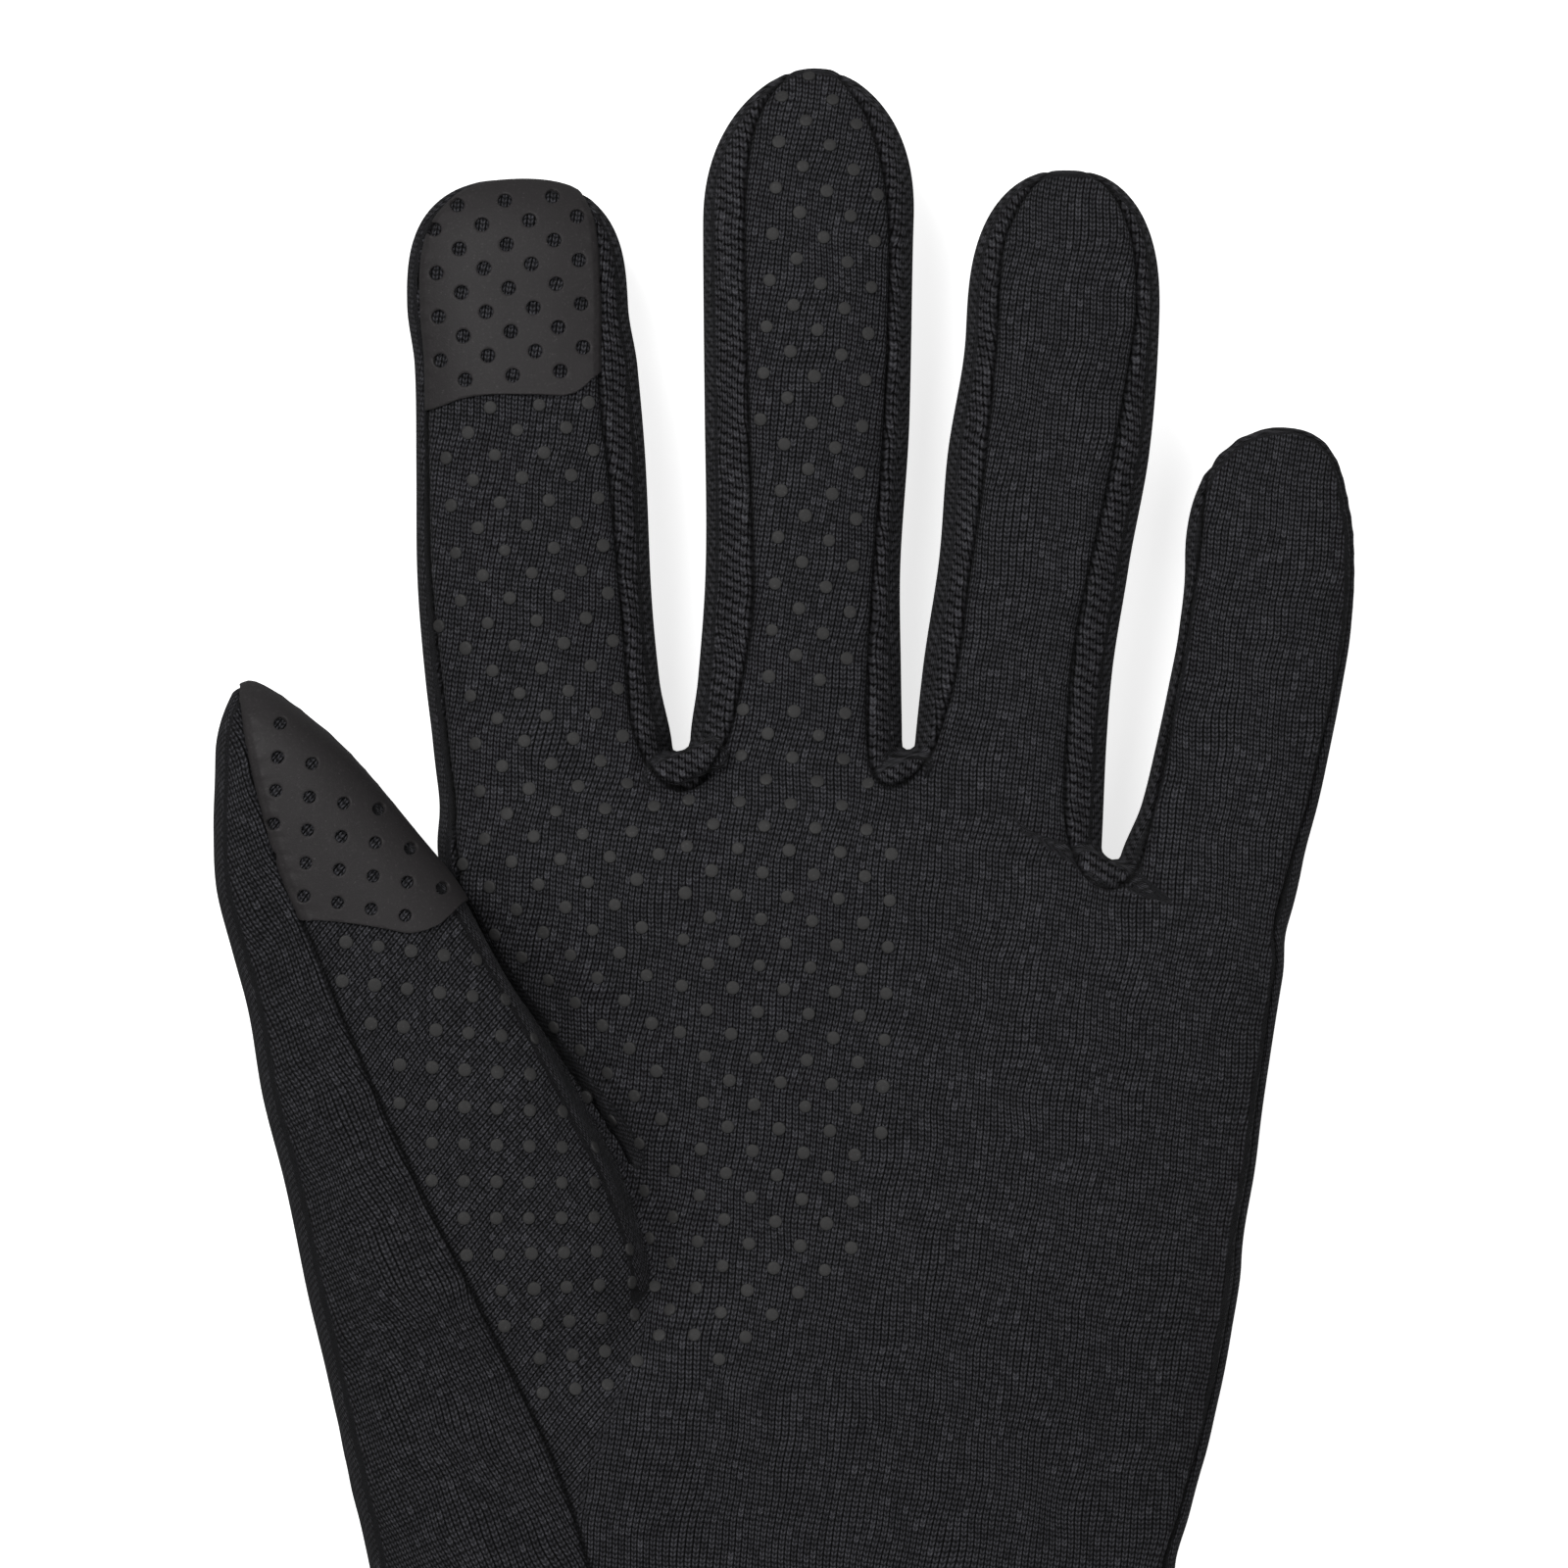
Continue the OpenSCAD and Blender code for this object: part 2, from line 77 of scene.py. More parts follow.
def curve(stations, y, column):
    """A smooth curve through the stations' column, at y (monotone cubic)."""
    ys = np.array([s[0] for s in stations], float)
    vs = np.array([s[column] for s in stations], float)
    h = np.diff(ys)
    d = np.diff(vs) / h
    m = np.zeros(len(ys))
    m[0], m[-1] = d[0], d[-1]
    for i in range(1, len(ys) - 1):
        if d[i - 1] * d[i] > 0:
            a, b = 2 * h[i] + h[i - 1], h[i] + 2 * h[i - 1]
            m[i] = (a + b) / (a / d[i - 1] + b / d[i])
    y = np.asarray(y, float)
    yc = np.clip(y, ys[0], ys[-1])
    i = np.clip(np.searchsorted(ys, yc) - 1, 0, len(h) - 1)
    t = (yc - ys[i]) / h[i]
    return ((2 * t**3 - 3 * t**2 + 1) * vs[i] + (t**3 - 2 * t**2 + t) * h[i] * m[i]
            + (-2 * t**3 + 3 * t**2) * vs[i + 1] + (t**3 - t**2) * h[i] * m[i + 1])


class Tube:
    """A stack of rounded sections of power n, closed by the ends top and bottom, which are
    (y where the rounding starts, its length, its two powers, how it slants with x)."""

    def __init__(self, stations, n, top=None, bottom=None, lift=None):
        self.stations, self.n, self.top, self.bottom, self.lift = stations, n, top, bottom, lift

    def section(self, y):
        """Centre x, half width, centre z and half depth at y."""
        return tuple(curve(self.stations, y, k) for k in (1, 2, 3, 4))

    def value(self, x, y, z):
        """1 on the surface, less inside."""
        c, w, cz, h = self.section(y)
        v = (z - cz) / h
        if self.lift is not None:
            v = v / (1 + self.lift(x, y) * np.clip(v * 1.5, 0, 1))
        r = (np.abs((x - c) / w) ** self.n + np.abs(v) ** self.n) ** (1 / self.n)
        for end, sign in ((self.top, 1), (self.bottom, -1)):
            if end is not None:
                y0, length, a, b, slant = end
                yy = y + (slant(x) if slant else 0)
                t = np.clip(sign * (yy - y0) / length, 0, None)
                r = (r ** (1 / b) + t**a) ** b
        return r


def gauss(x, y, cx, cy, sx, sy, turn=0.0):
    """A bump of height 1 at (cx, cy), of widths sx and sy, turned by some degrees."""
    a = math.radians(turn)
    u = (x - cx) * math.cos(a) + (y - cy) * math.sin(a)
    v = -(x - cx) * math.sin(a) + (y - cy) * math.cos(a)
    return np.exp(-0.5 * ((u / sx) ** 2 + (v / sy) ** 2))


def palm_lift(x, y):
    """The palm's hollow, its mounds and the pads under the fingers, as a share of its depth."""
    s = -0.25 * gauss(x, y, 1, -8, 14, 24, 14)
    s = s + 0.07 * gauss(x, y, 38, -22, 13, 28)
    for cx, cy in ((-27, 26), (1, 25), (26, 22), (47, 14)):
        s = s + 0.07 * gauss(x, y, cx, cy, 8, 8)
    return s


def knuckle_slant(x):
    """How much nearer to the cuff the hand ends, towards the little finger."""
    return np.interp(x, [-60, 18, 30, 38, 60], [0, 0, 6.5, 11.5, 14.5])


def little_slant(x):
    """The little finger's tip is fuller on its outer side."""
    return -0.06 * (x - 57)


def sections(rows):
    """Rows of y, left edge, right edge, centre z, half depth."""
    return [(y, (a + b) / 2, (b - a) / 2, z, h) for y, a, b, z, h in rows]


HAND = Tube(sections([
    (-125, -45.2, 45.2, 12, 10.4), (-118, -44.9, 44.9, 12, 10.5), (-97, -44, 43.6, 12, 11),
    (-76, -44.6, 43.8, 12.2, 12), (-58, -46.4, 45.7, 12.8, 12.8), (-52, -45.4, 47.3, 13.2, 13.2),
    (-46, -43, 48.9, 13.6, 13.6), (-38, -36, 50.8, 14.2, 14.1), (-30, -26, 52.3, 14.7, 14.5),
    (-22, -19, 53.4, 15, 14.7),
    (-13, -20, 54.7, 15, 14.6), (-4, -24.5, 55.9, 14.8, 14.5), (6, -30.5, 57.4, 14.4, 14.2),
    (15, -36, 58.8, 13.9, 13.7), (24, -40, 60.4, 13.2, 13), (32, -41, 61.6, 12.2, 12.2),
    (44, -42, 64, 11, 11)]),
    2.5, top=(24, 13.5, 3, 0.5, knuckle_slant), lift=palm_lift)
INDEX = Tube(sections([
    (4, -37, -14, 12, 10), (24, -39.5, -13.2, 11.4, 10.8), (38.4, -41.4, -13.3, 10.2, 10.2),
    (46, -42.3, -14.8, 9.7, 9.7), (59, -43.3, -15.9, 9.6, 9.6), (71, -43.4, -16.4, 9.4, 9.4),
    (83, -43.6, -17.4, 9, 9), (90, -44.5, -18.5, 8.6, 8.4), (105, -44.6, -19, 8, 7.6)]),
    2.5, top=(90, 14.9, 2.9, 0.4, None), bottom=(24, 20, 2, 0.5, None))
MIDDLE = Tube(sections([
    (4, -11, 13.6, 12, 11), (30, -11.2, 13.7, 11, 11), (38.4, -11.2, 13.7, 10.2, 10.2),
    (46, -10.3, 13.6, 9.7, 9.7), (59, -9.4, 13.5, 9.6, 9.6), (77, -9.5, 14.6, 9.4, 9.4),
    (97, -9.7, 15, 8.9, 8.8), (118.2, -9.3, 16, 8, 7.4)]),
    2.5, top=(100, 18.1, 2.2, 0.56, None), bottom=(24, 20, 2, 0.5, None))
RING = Tube(sections([
    (2, 13, 36, 12, 11), (28, 14.4, 37.2, 11, 10.6), (38.4, 15.2, 37.7, 10, 10), (47, 16.1, 38.4, 9.6, 9.6),
    (59, 17.9, 40.3, 9.4, 9.4), (72.9, 19.1, 42.8, 9.2, 9.2), (86.7, 21.2, 43.9, 8.8, 8.7),
    (106.1, 21.8, 44.4, 8, 7.2)]),
    2.5, top=(88, 18.1, 2.6, 0.45, None), bottom=(22, 18, 2, 0.5, None))
LITTLE = Tube(sections([
    (-4, 38, 53, 11.5, 9.4), (10, 38.6, 55.9, 11, 9.6), (19, 38.9, 59.5, 10.3, 9.7),
    (24.6, 39.2, 60.8, 9.8, 9.7),
    (31.5, 41.9, 62.6, 9.2, 9.2), (38.4, 43.6, 64.1, 8.8, 8.8), (45, 45, 65.4, 8.6, 8.6),
    (52, 46.3, 66.5, 8.4, 8.4), (59, 47.0, 66.9, 8.1, 8.1), (66, 47.0, 66.8, 7.8, 7.7),
    (75.7, 47.4, 68.4, 7.4, 7)]),
    2.4, top=(61, 14.7, 2, 0.45, little_slant), bottom=(10, 16, 2, 0.5, None))
THUMB = Tube(sections([
    (-92, -39, -22, 11.5, 8), (-76, -41, -19, 11.8, 10), (-58, -45.6, -14, 12.6, 11.6),
    (-48, -50.5, -12.6, 13.5, 12.9), (-34, -54.0, -12, 14.9, 14), (-24, -56.3, -12.6, 16.2, 14.4),
    (-13, -58.5, -17, 17.6, 14), (-3, -61.0, -22.4, 19.1, 13.2), (7.4, -62.7, -28.4, 20.7, 12.4),
    (14.3, -64.5, -33, 21.8, 11.8), (21, -66.2, -37.6, 22.9, 11.2), (28, -66.6, -43.3, 23.8, 10.6),
    (35, -66.4, -49.1, 24.4, 9.8), (41.9, -66.3, -55.6, 24.7, 8.6), (45.6, -66.3, -59, 24.8, 7.8)]),
    2.3, top=(37, 8.4, 2.2, 0.48, None), bottom=(-70, 22, 2, 0.5, None))
FINGERS = {"index": INDEX, "middle": MIDDLE, "ring": RING, "little": LITTLE}

# The grid that the surface is found on: its pitch and its two corners.
PITCH = 0.7
LOW = np.array([-74.0, -121.0, -4.0])
HIGH = np.array([74.0, 124.0, 42.0])


def steps(x, a, b):
    """0 below a, 1 above b, smooth between."""
    t = np.clip((x - a) / (b - a), 0, 1)
    return t * t * (3 - 2 * t)


def join(a, b, k):
    """The union of two fields, rounded over k."""
    h = np.clip(0.5 + 0.5 * (b - a) / k, 0, 1)
    return b + (a - b) * h - k * h * (1 - h)


FAR = 14.0


def distance(tube, x, y, z, grid):
    """About the distance to the tube's surface in mm, negative inside, and FAR away from it."""
    rows = tube.stations
    low = (min(r[1] - r[2] for r in rows) - FAR, rows[0][0] - FAR, -99)
    high = (max(r[1] + r[2] for r in rows) + FAR, rows[-1][0] + FAR, 99)
    if grid:
        keep = [np.nonzero((a.ravel() > low[i]) & (a.ravel() < high[i]))[0] for i, a in enumerate((x, y))]
        block = tuple(slice(k[0], k[-1] + 1) for k in keep)
        k = tube.value(x[block[0]], y[:, block[1]], z)
        g = np.gradient(k, PITCH)
        out = np.full((x.size, y.size, z.size), FAR, np.float32)
        out[block[0], block[1]] = (k - 1) / np.sqrt(g[0]**2 + g[1]**2 + g[2]**2 + 1e-6)
        return out
    out = np.full(len(x), FAR)
    near = (x > low[0]) & (x < high[0]) & (y > low[1]) & (y < high[1])
    x, y, z = x[near], y[near], z[near]
    k = tube.value(x, y, z)
    e = 0.05
    moved = (x + e, y, z), (x, y + e, z), (x, y, z + e)
    g = [(tube.value(*q) - k) / e for q in moved]
    out[near] = (k - 1) / np.sqrt(g[0]**2 + g[1]**2 + g[2]**2 + 1e-6)
    return out


THUMB_ROOT = HINGES["thumb_knuckle"]
THUMB_BEND = HINGES["thumb_bend"]
HEADING = (THUMB_BEND - THUMB_ROOT)[:2]
HEADING = HEADING / np.linalg.norm(HEADING)


def along_thumb(x, y):
    """How far a point is from the thumb's knuckle, towards its tip."""
    return (x - THUMB_ROOT[0]) * HEADING[0] + (y - THUMB_ROOT[1]) * HEADING[1]


# The bunched fold of fabric in the bottom of each gap between two fingers: its ends, radius and top.
ROLLS = [((-14.6, 34.7), (-8.6, 37.2), 1.8, 21.0), ((11.3, 33.9), (15.2, 35.7), 1.5, 20.8),
         ((35.2, 24.7), (38.8, 22.5), 1.6, 20.6)]


ROLL_BOTTOM = 7.5


def upright_roll(x, y, z, a, b, radius, top):
    """The distance to a rounded wall that runs from a to b."""
    ax, ay = a
    dx, dy = b[0] - ax, b[1] - ay
    t = np.clip(((x - ax) * dx + (y - ay) * dy) / (dx * dx + dy * dy), 0, 1)
    zz = np.clip(z, ROLL_BOTTOM, top)
    return np.sqrt((x - ax - t * dx)**2 + (y - ay - t * dy)**2 + (z - zz)**2) - radius


SLOT = 0.42           # half the width of the slot between the thumb and the palm
SLOT_END = -14.5      # where it starts to close, along the thumb
CREASE = 2.6          # depth of the crease over the slot
CREASE_WIDTH = 4.5
FINGER_ROUNDING = 3.2  # of the joins below the fingers' notches


def fields(x, y, z, grid=False):
    """The glove's surface and the ones it is made of: each finger, the thumb, the palm with its fingers
    (palm_side), all of them joined, the slot beside the thumb, and how much nearer the thumb is."""
    own = {n: distance(t, x, y, z, grid) for n, t in FINGERS.items()}
    f = distance(HAND, x, y, z, grid)
    notch = np.interp(x, [22, 30], [36.3, 23.5])
    rounding = FINGER_ROUNDING - 2.4 * steps(y - notch, 0, 2.5) + 0 * z
    for n in FINGERS:
        f = join(f, own[n], rounding)
    for roll in ROLLS:
        f = join(f, upright_roll(x, y, z, *roll), 0.9)
    thumb = distance(THUMB, x, y, z, grid)
    rounding = 0.6 + 2.0 * steps(y, -20, -27) + 8 * steps(y, -26, -46) + 0 * z
    crease = CREASE * steps(y, -42, -22) * steps(y, 24, 8) * steps(z, 15, 22)
    lean = (0.28 * (z - 14) + 0.9) * gauss(x, y, -20, -9, 9, 9)
    open_by = SLOT - 2.4 * steps(along_thumb(x, y) + 0 * z, SLOT_END, SLOT_END - 3)
    own["thumb"], own["palm_side"] = thumb, f
    own["joined"] = join(f, thumb, rounding) + crease * np.exp(-((f - thumb) / CREASE_WIDTH)**2)
    own["nearer_thumb"] = f - thumb + lean
    own["slot"] = open_by - np.abs(own["nearer_thumb"]) / 2
    own["solid"] = np.maximum(own["joined"], own["slot"])
    return own


def settle_on_edge(p, rounds=4, most=0.5, e=0.03):
    """Moves points on to the sharp edge where the slot beside the thumb meets the surface."""
    def pair(q):
        both = fields(q[:, 0], q[:, 1], q[:, 2])
        return np.stack([both["joined"], both["slot"]], 1)
    for _ in range(rounds):
        here = pair(p)
        J = np.stack([pair(p + e * a) - here for a in np.eye(3)], 2) / e
        G = J @ J.transpose(0, 2, 1) + 0.02 * np.eye(2)
        step = -(J.transpose(0, 2, 1) @ np.linalg.solve(G, here[:, :, None]))[:, :, 0]
        size = np.linalg.norm(step, axis=1)
        p = p + step * np.minimum(1, most / np.maximum(size, 1e-9))[:, None]
    return p


def solid(p):
    """The glove's surface field at each point, in mm, negative inside."""
    return fields(p[:, 0], p[:, 1], p[:, 2])["solid"]


def slope(p, e=0.06):
    """Which way the field rises at each point, and how fast."""
    here = solid(p)
    return np.stack([solid(p + e * a) - here for a in np.eye(3)], 1) / e


def settle(p, rounds=2, most=0.5):
    """Moves points on to the surface."""
    for _ in range(rounds):
        f = solid(p)
        g = slope(p)
        step = -f[:, None] * g / np.maximum((g * g).sum(1), 0.15)[:, None]
        size = np.linalg.norm(step, axis=1)
        p = p + step * np.minimum(1, most / np.maximum(size, 1e-9))[:, None]
    return p


# ---------------------------------------------------------------- cutting the surface along curves
def spline(points, step=1.2):
    """A smooth curve through the points, with a point about every step."""
    p = np.array(points, float)
    ext = np.vstack([2 * p[0] - p[1], p, 2 * p[-1] - p[-2]])
    out = []
    for i in range(1, len(ext) - 2):
        p0, p1, p2, p3 = ext[i - 1:i + 3]
        m1 = (p2 - p0) / 2
        m2 = (p3 - p1) / 2
        size = np.linalg.norm(p2 - p1)
        most = 1.2 * size
        for m in (m1, m2):
            m *= min(1, most / max(np.linalg.norm(m), 1e-12))
        n = max(2, int(size / step))
        t = np.linspace(0, 1, n, endpoint=False)[:, None]
        out.append((2 * t**3 - 3 * t**2 + 1) * p1 + (t**3 - 2 * t**2 + t) * m1
                   + (-2 * t**3 + 3 * t**2) * p2 + (t**3 - t**2) * m2)
    return np.vstack(out + [p[-1:]])


def polygon_distance(ring, x, y):
    """Signed distance to a closed curve, negative inside."""
    a = ring
    b = np.roll(ring, -1, 0)
    best = np.full(len(x), 1e9)
    inside = np.zeros(len(x), bool)
    (left, low), (right, high) = ring.min(0) - 8, ring.max(0) + 8
    near = (x > left) & (x < right) & (y > low) & (y < high)
    px, py = x[near], y[near]
    d = np.full(len(px), 1e9)
    odd = np.zeros(len(px), bool)
    for (ax, ay), (bx, by) in zip(a, b):
        dx, dy = bx - ax, by - ay
        t = np.clip(((px - ax) * dx + (py - ay) * dy) / max(dx * dx + dy * dy, 1e-12), 0, 1)
        d = np.minimum(d, (px - ax - t * dx)**2 + (py - ay - t * dy)**2)
        if ay != by:
            odd ^= ((ay > py) != (by > py)) & (px < dx * (py - ay) / dy + ax)
    best[near] = np.sqrt(d)
    inside[near] = odd
    return np.where(inside, -best, best)


def cut(V, T, g, locked, snap=0.24):
    """Cuts the triangles where g is nought, after moving the nearest free vertices on to that line.

    Returns the new vertices, triangles, g, locks and each triangle's source."""
    V, g, locked = V.copy(), g.copy(), locked.copy()
    g[np.abs(g) < 1e-7] = 0
    E = np.unique(np.sort(np.vstack([T[:, [0, 1]], T[:, [1, 2]], T[:, [2, 0]]]), 1), axis=0)
    A, B = E[:, 0], E[:, 1]
    hit = g[A] * g[B] < 0
    A, B = A[hit], B[hit]
    t = g[A] / (g[A] - g[B])
    near = np.concatenate([A, B])
    other = np.concatenate([B, A])
    share = np.concatenate([t, 1 - t])
    ok = (share < snap) & ~locked[near]
    near, other, share = near[ok], other[ok], share[ok]
    order = np.argsort(share)[::-1]
    near, other, share = near[order], other[order], share[order]
    V0 = V.copy()
    V[near] = V0[near] + share[:, None] * (V0[other] - V0[near])
    g[near] = 0
    hit = g[E[:, 0]] * g[E[:, 1]] < 0
    A, B = E[hit, 0], E[hit, 1]
    t = g[A] / (g[A] - g[B])
    new = V[A] + t[:, None] * (V[B] - V[A])
    n = len(V) + len(A)
    keys = A.astype(np.int64) * n + B
    order = np.argsort(keys)
    keys, made = keys[order], (len(V) + np.arange(len(A)))[order]

    def mid(a, b):
        k = np.minimum(a, b).astype(np.int64) * n + np.maximum(a, b)
        i = np.searchsorted(keys, k)
        return made[i]
    s = np.sign(g[T]).astype(int)
    mixed = (s.min(1) < 0) & (s.max(1) > 0)
    keep, M, S = T[~mixed], T[mixed], s[mixed]
    ids = np.nonzero(mixed)[0]
    zeros = (S == 0).sum(1)
    out, src = [keep], [np.nonzero(~mixed)[0]]
    one = zeros == 1
    if one.any():
        Q, R = M[one], S[one]
        i = np.argmax(R == 0, 1)
        rows = np.arange(len(Q))
        o, a, b = Q[rows, i], Q[rows, (i + 1) % 3], Q[rows, (i + 2) % 3]
        m = mid(a, b)
        out += [np.stack([o, a, m], 1), np.stack([o, m, b], 1)]
        src += [ids[one]] * 2
    if (~one).any():
        Q, R = M[~one], S[~one]
        i = np.where(R[:, 0] * R[:, 1] > 0, 2, np.where(R[:, 1] * R[:, 2] > 0, 0, 1))
        rows = np.arange(len(Q))
        a, b, c = Q[rows, i], Q[rows, (i + 1) % 3], Q[rows, (i + 2) % 3]
        ab, ca = mid(a, b), mid(c, a)
        out += [np.stack([a, ab, ca], 1)]
        both = np.vstack([V, new])
        flip = np.linalg.norm(both[ab] - V[c], axis=1) < np.linalg.norm(both[ca] - V[b], axis=1)
        out += [np.stack([ab, b, c], 1)[flip], np.stack([ab, c, ca], 1)[flip]]
        out += [np.stack([ab, b, ca], 1)[~flip], np.stack([b, c, ca], 1)[~flip]]
        rest = ids[~one]
        src += [rest, rest[flip], rest[flip], rest[~flip], rest[~flip]]
    V = np.vstack([V, new])
    g = np.concatenate([g, np.zeros(len(new))])
    locked = np.concatenate([locked, np.ones(len(new), bool)])
    locked |= g == 0
    return V, np.vstack(out), g, locked, np.concatenate(src)


def centres(V, T):
    return V[T].mean(1)


def vertex_normals(V, T):
    """The normal at each vertex, weighted by area."""
    f = np.cross(V[T[:, 1]] - V[T[:, 0]], V[T[:, 2]] - V[T[:, 0]])
    n = np.zeros_like(V)
    for i in range(3):
        np.add.at(n, T[:, i], f)
    return n / np.maximum(np.linalg.norm(n, axis=1), 1e-12)[:, None]


# ---------------------------------------------------------------- seams, in the front view
INDEX_SEAM = [(-26.2, 105.3), (-24.9, 104), (-23.7, 102.4), (-22.6, 100.2), (-22, 96.5), (-21.7, 90),
              (-21.6, 80), (-20.3, 68.3), (-18.7, 51.1), (-17.9, 41.5), (-16, 36.2), (-14.2, 33.8),
              (-11.7, 33.2), (-9.3, 34.6), (-7, 38.8), (-4.8, 48.2), (-3.9, 56), (-4.2, 68.3), (-4.7, 84),
              (-4.9, 94.7), (-4.9, 102), (-4.5, 107), (-3.7, 111.2), (-2.1, 114.6), (0.4, 117.4)]
MIDDLE_SEAM = [(6.4, 117), (8.9, 113.7), (10.3, 110.7), (11.4, 106.8), (12.1, 102.5), (12.4, 97),
               (12.3, 90), (11.7, 75), (10.6, 60), (9.9, 48.6), (9.7, 41.5), (10.2, 35.4), (11.6, 33.6),
               (14.2, 34), (16.4, 36.4), (18.3, 41.5), (20, 48), (21.3, 58), (22.8, 68.3), (24.4, 84),
               (24.9, 92.6), (25.5, 97.6), (26.9, 101), (28.6, 103.8), (30.8, 105.8)]
RING_SEAM = [(35.2, 106), (37.6, 104.3), (39.3, 102.1), (40.5, 99.1), (41.1, 96.6), (41.4, 91.1),
             (41.1, 87.1), (39.9, 79.9), (38, 69.5), (34.3, 52), (33.2, 41.5), (32.8, 31), (33.6, 26.2),
             (35.2, 23), (37.4, 21.8), (39.6, 22.3), (41.2, 24.4), (43.2, 32), (45, 41.5), (46.5, 48.6),
             (47.8, 57), (48.5, 62), (48.9, 66.5), (49.7, 70.4), (51.4, 73.8)]
GAPS = {
    "index_middle": (INDEX_SEAM, [(1.2, 120.5), (-8, 119), (-14, 112), (-20, 108.5), (-26.8, 107.8)]),
    "middle_ring": (MIDDLE_SEAM, [(31.5, 108.5), (20, 113), (13, 118), (7.4, 120)]),
    "ring_little": (RING_SEAM, [(52, 76.6), (47, 90), (45, 100), (42, 107), (36.2, 108.6)])}
THUMB_SEAM = [(-63.4, 47), (-63.2, 44), (-61.7, 35.5), (-58.4, 23.6), (-54.7, 15), (-51.1, 6.1),
              (-46.3, -4.7), (-42.1, -13.8), (-36.6, -24.6), (-33.1, -31.9), (-27.1, -44.5), (-22.6, -58.2),
              (-18.5, -80), (-15.5, -100), (-14, -125)]
BACK_SEAM = [(-38, 40), (-41, 20), (-37, 4), (-34, -14), (-34, -34), (-36, -60), (-37, -90), (-37, -125)]
INDEX_PAD = [(-52, 76.2), (-46, 77.2), (-41, 77.7), (-38, 78.8), (-34.5, 79.3), (-29, 79.3), (-24.6, 79.5),
             (-20.4, 83.4), (-12, 89)]
THUMB_PAD = [(-66, 20.4), (-60, 18.8), (-56.6, 18.2), (-52, 17.9), (-47, 17.2), (-43.3, 16.5), (-40, 17.6),
             (-37.8, 19.8), (-34, 22)]


def side_level(x, y):
    """The height of the seam between the palm and the back, round the outside and over the fingertips."""
    left = np.interp(y, [-125, -60, -30, -16, 0, 15, 24, 30, 60, 90, 105],
                     [12, 12.6, 12, 11, 12, 16, 19.2, 18.4, 15.4, 13.8, 12])
    right = np.interp(y, [-125, -60, -20, 10, 30, 60, 76], [15.4, 17.2, 19.8, 18.6, 14.6, 11, 9.4])
    tips = np.interp(x, [-40, -24, 0, 30, 56], [11.5, 9.5, 8.6, 8.4, 8.2])
    near_left = steps(x, -36, -43) + steps(y, 60, 20) * (1 - steps(x, -36, -43))
    level = tips * (1 - near_left) + left * near_left
    to_right = steps(x, 56, 62) + (1 - steps(x, 56, 62)) * steps(y, 66, 40) * steps(x, 20, 40)
    return level * (1 - to_right) + right * to_right


CARRY_ON = 60


def line_distance(points, x, y):
    """Distance from an open curve carried on at its ends, positive on its left side as it runs."""
    p = spline(points)
    first, last = p[0] - p[1], p[-1] - p[-2]
    lo, hi = p[0] + CARRY_ON * first / np.linalg.norm(first), p[-1] + CARRY_ON * last / np.linalg.norm(last)
    p = np.vstack([lo, p, hi])
    d = np.full(len(x), 1e9)
    sign = np.ones(len(x))
    for (ax, ay), (bx, by) in zip(p[:-1], p[1:]):
        dx, dy = bx - ax, by - ay
        t = np.clip(((x - ax) * dx + (y - ay) * dy) / (dx * dx + dy * dy), 0, 1)
        e = (x - ax - t * dx)**2 + (y - ay - t * dy)**2
        s = np.sign(dx * (y - ay) - dy * (x - ax))
        better = e < d
        d = np.where(better, e, d)
        sign = np.where(better & (s != 0), s, sign)
    return sign * np.sqrt(d)


# ---------------------------------------------------------------- the glove's surface
def raw_surface():
    """The glove's surface as triangles, to within a share of the grid's pitch."""
    n = np.ceil((HIGH - LOW) / PITCH).astype(int)
    axes = [LOW[i] + PITCH * np.arange(n[i]) for i in range(3)]
    axes = [a.astype(np.float32) for a in axes]
    f = fields(axes[0][:, None, None], axes[1][None, :, None], axes[2][None, None, :], grid=True)["solid"]
    grid = openvdb.FloatGrid(3.0)
    grid.copyFromArray(np.clip(f, -3, 3).astype(np.float32))
    points, quads = grid.convertToQuads(isovalue=0.0)
    V = np.array(points, float) * PITCH + LOW
    Q = np.array(quads, int)
    one, other = V[Q[:, 0]] - V[Q[:, 2]], V[Q[:, 1]] - V[Q[:, 3]]
    shorter = np.linalg.norm(one, axis=1) < np.linalg.norm(other, axis=1)
    A, B = Q[shorter], Q[~shorter]
    T = np.vstack([A[:, [0, 1, 2]], A[:, [0, 2, 3]], B[:, [0, 1, 3]], B[:, [1, 2, 3]]])
    N = vertex_normals(V, T)
    if (N * slope(V)).sum(1).mean() < 0:
        T = T[:, ::-1]
    return V, T


CUFF = CAD_BOX[0].y / MM
FINGER_NAMES = ["index", "middle", "ring", "little"]
DIGITS = FINGER_NAMES + ["thumb"]
# Where each digit's base and tip pieces start, along Y or along the thumb.
STARTS = {"index": 39.5, "middle": 39.5, "ring": 40.0, "little": 27.5, "thumb": -14.0}
SPLITS = {"index": 58.0, "middle": 62.0, "ring": 61.0, "little": 43.3, "thumb": 13.6}


def digit_of(f):
    """0 to 3 for the nearest finger, 4 where the thumb is nearer than the rest."""
    d = np.argmin(np.stack([f[n] for n in FINGER_NAMES]), 0)
    return np.where(f["nearer_thumb"] > 0, 4, d)


def progress(p, digit):
    """How far along its digit each point is, in the units of STARTS and SPLITS."""
    return np.where(digit == 4, along_thumb(p[:, 0], p[:, 1]), p[:, 1])


def thumb_wall(p):
    """Positive on the thumb's front, negative under it."""
    c, w, cz, h = THUMB.section(p[:, 1])
    return p[:, 2] - (cz - 0.35 * h)


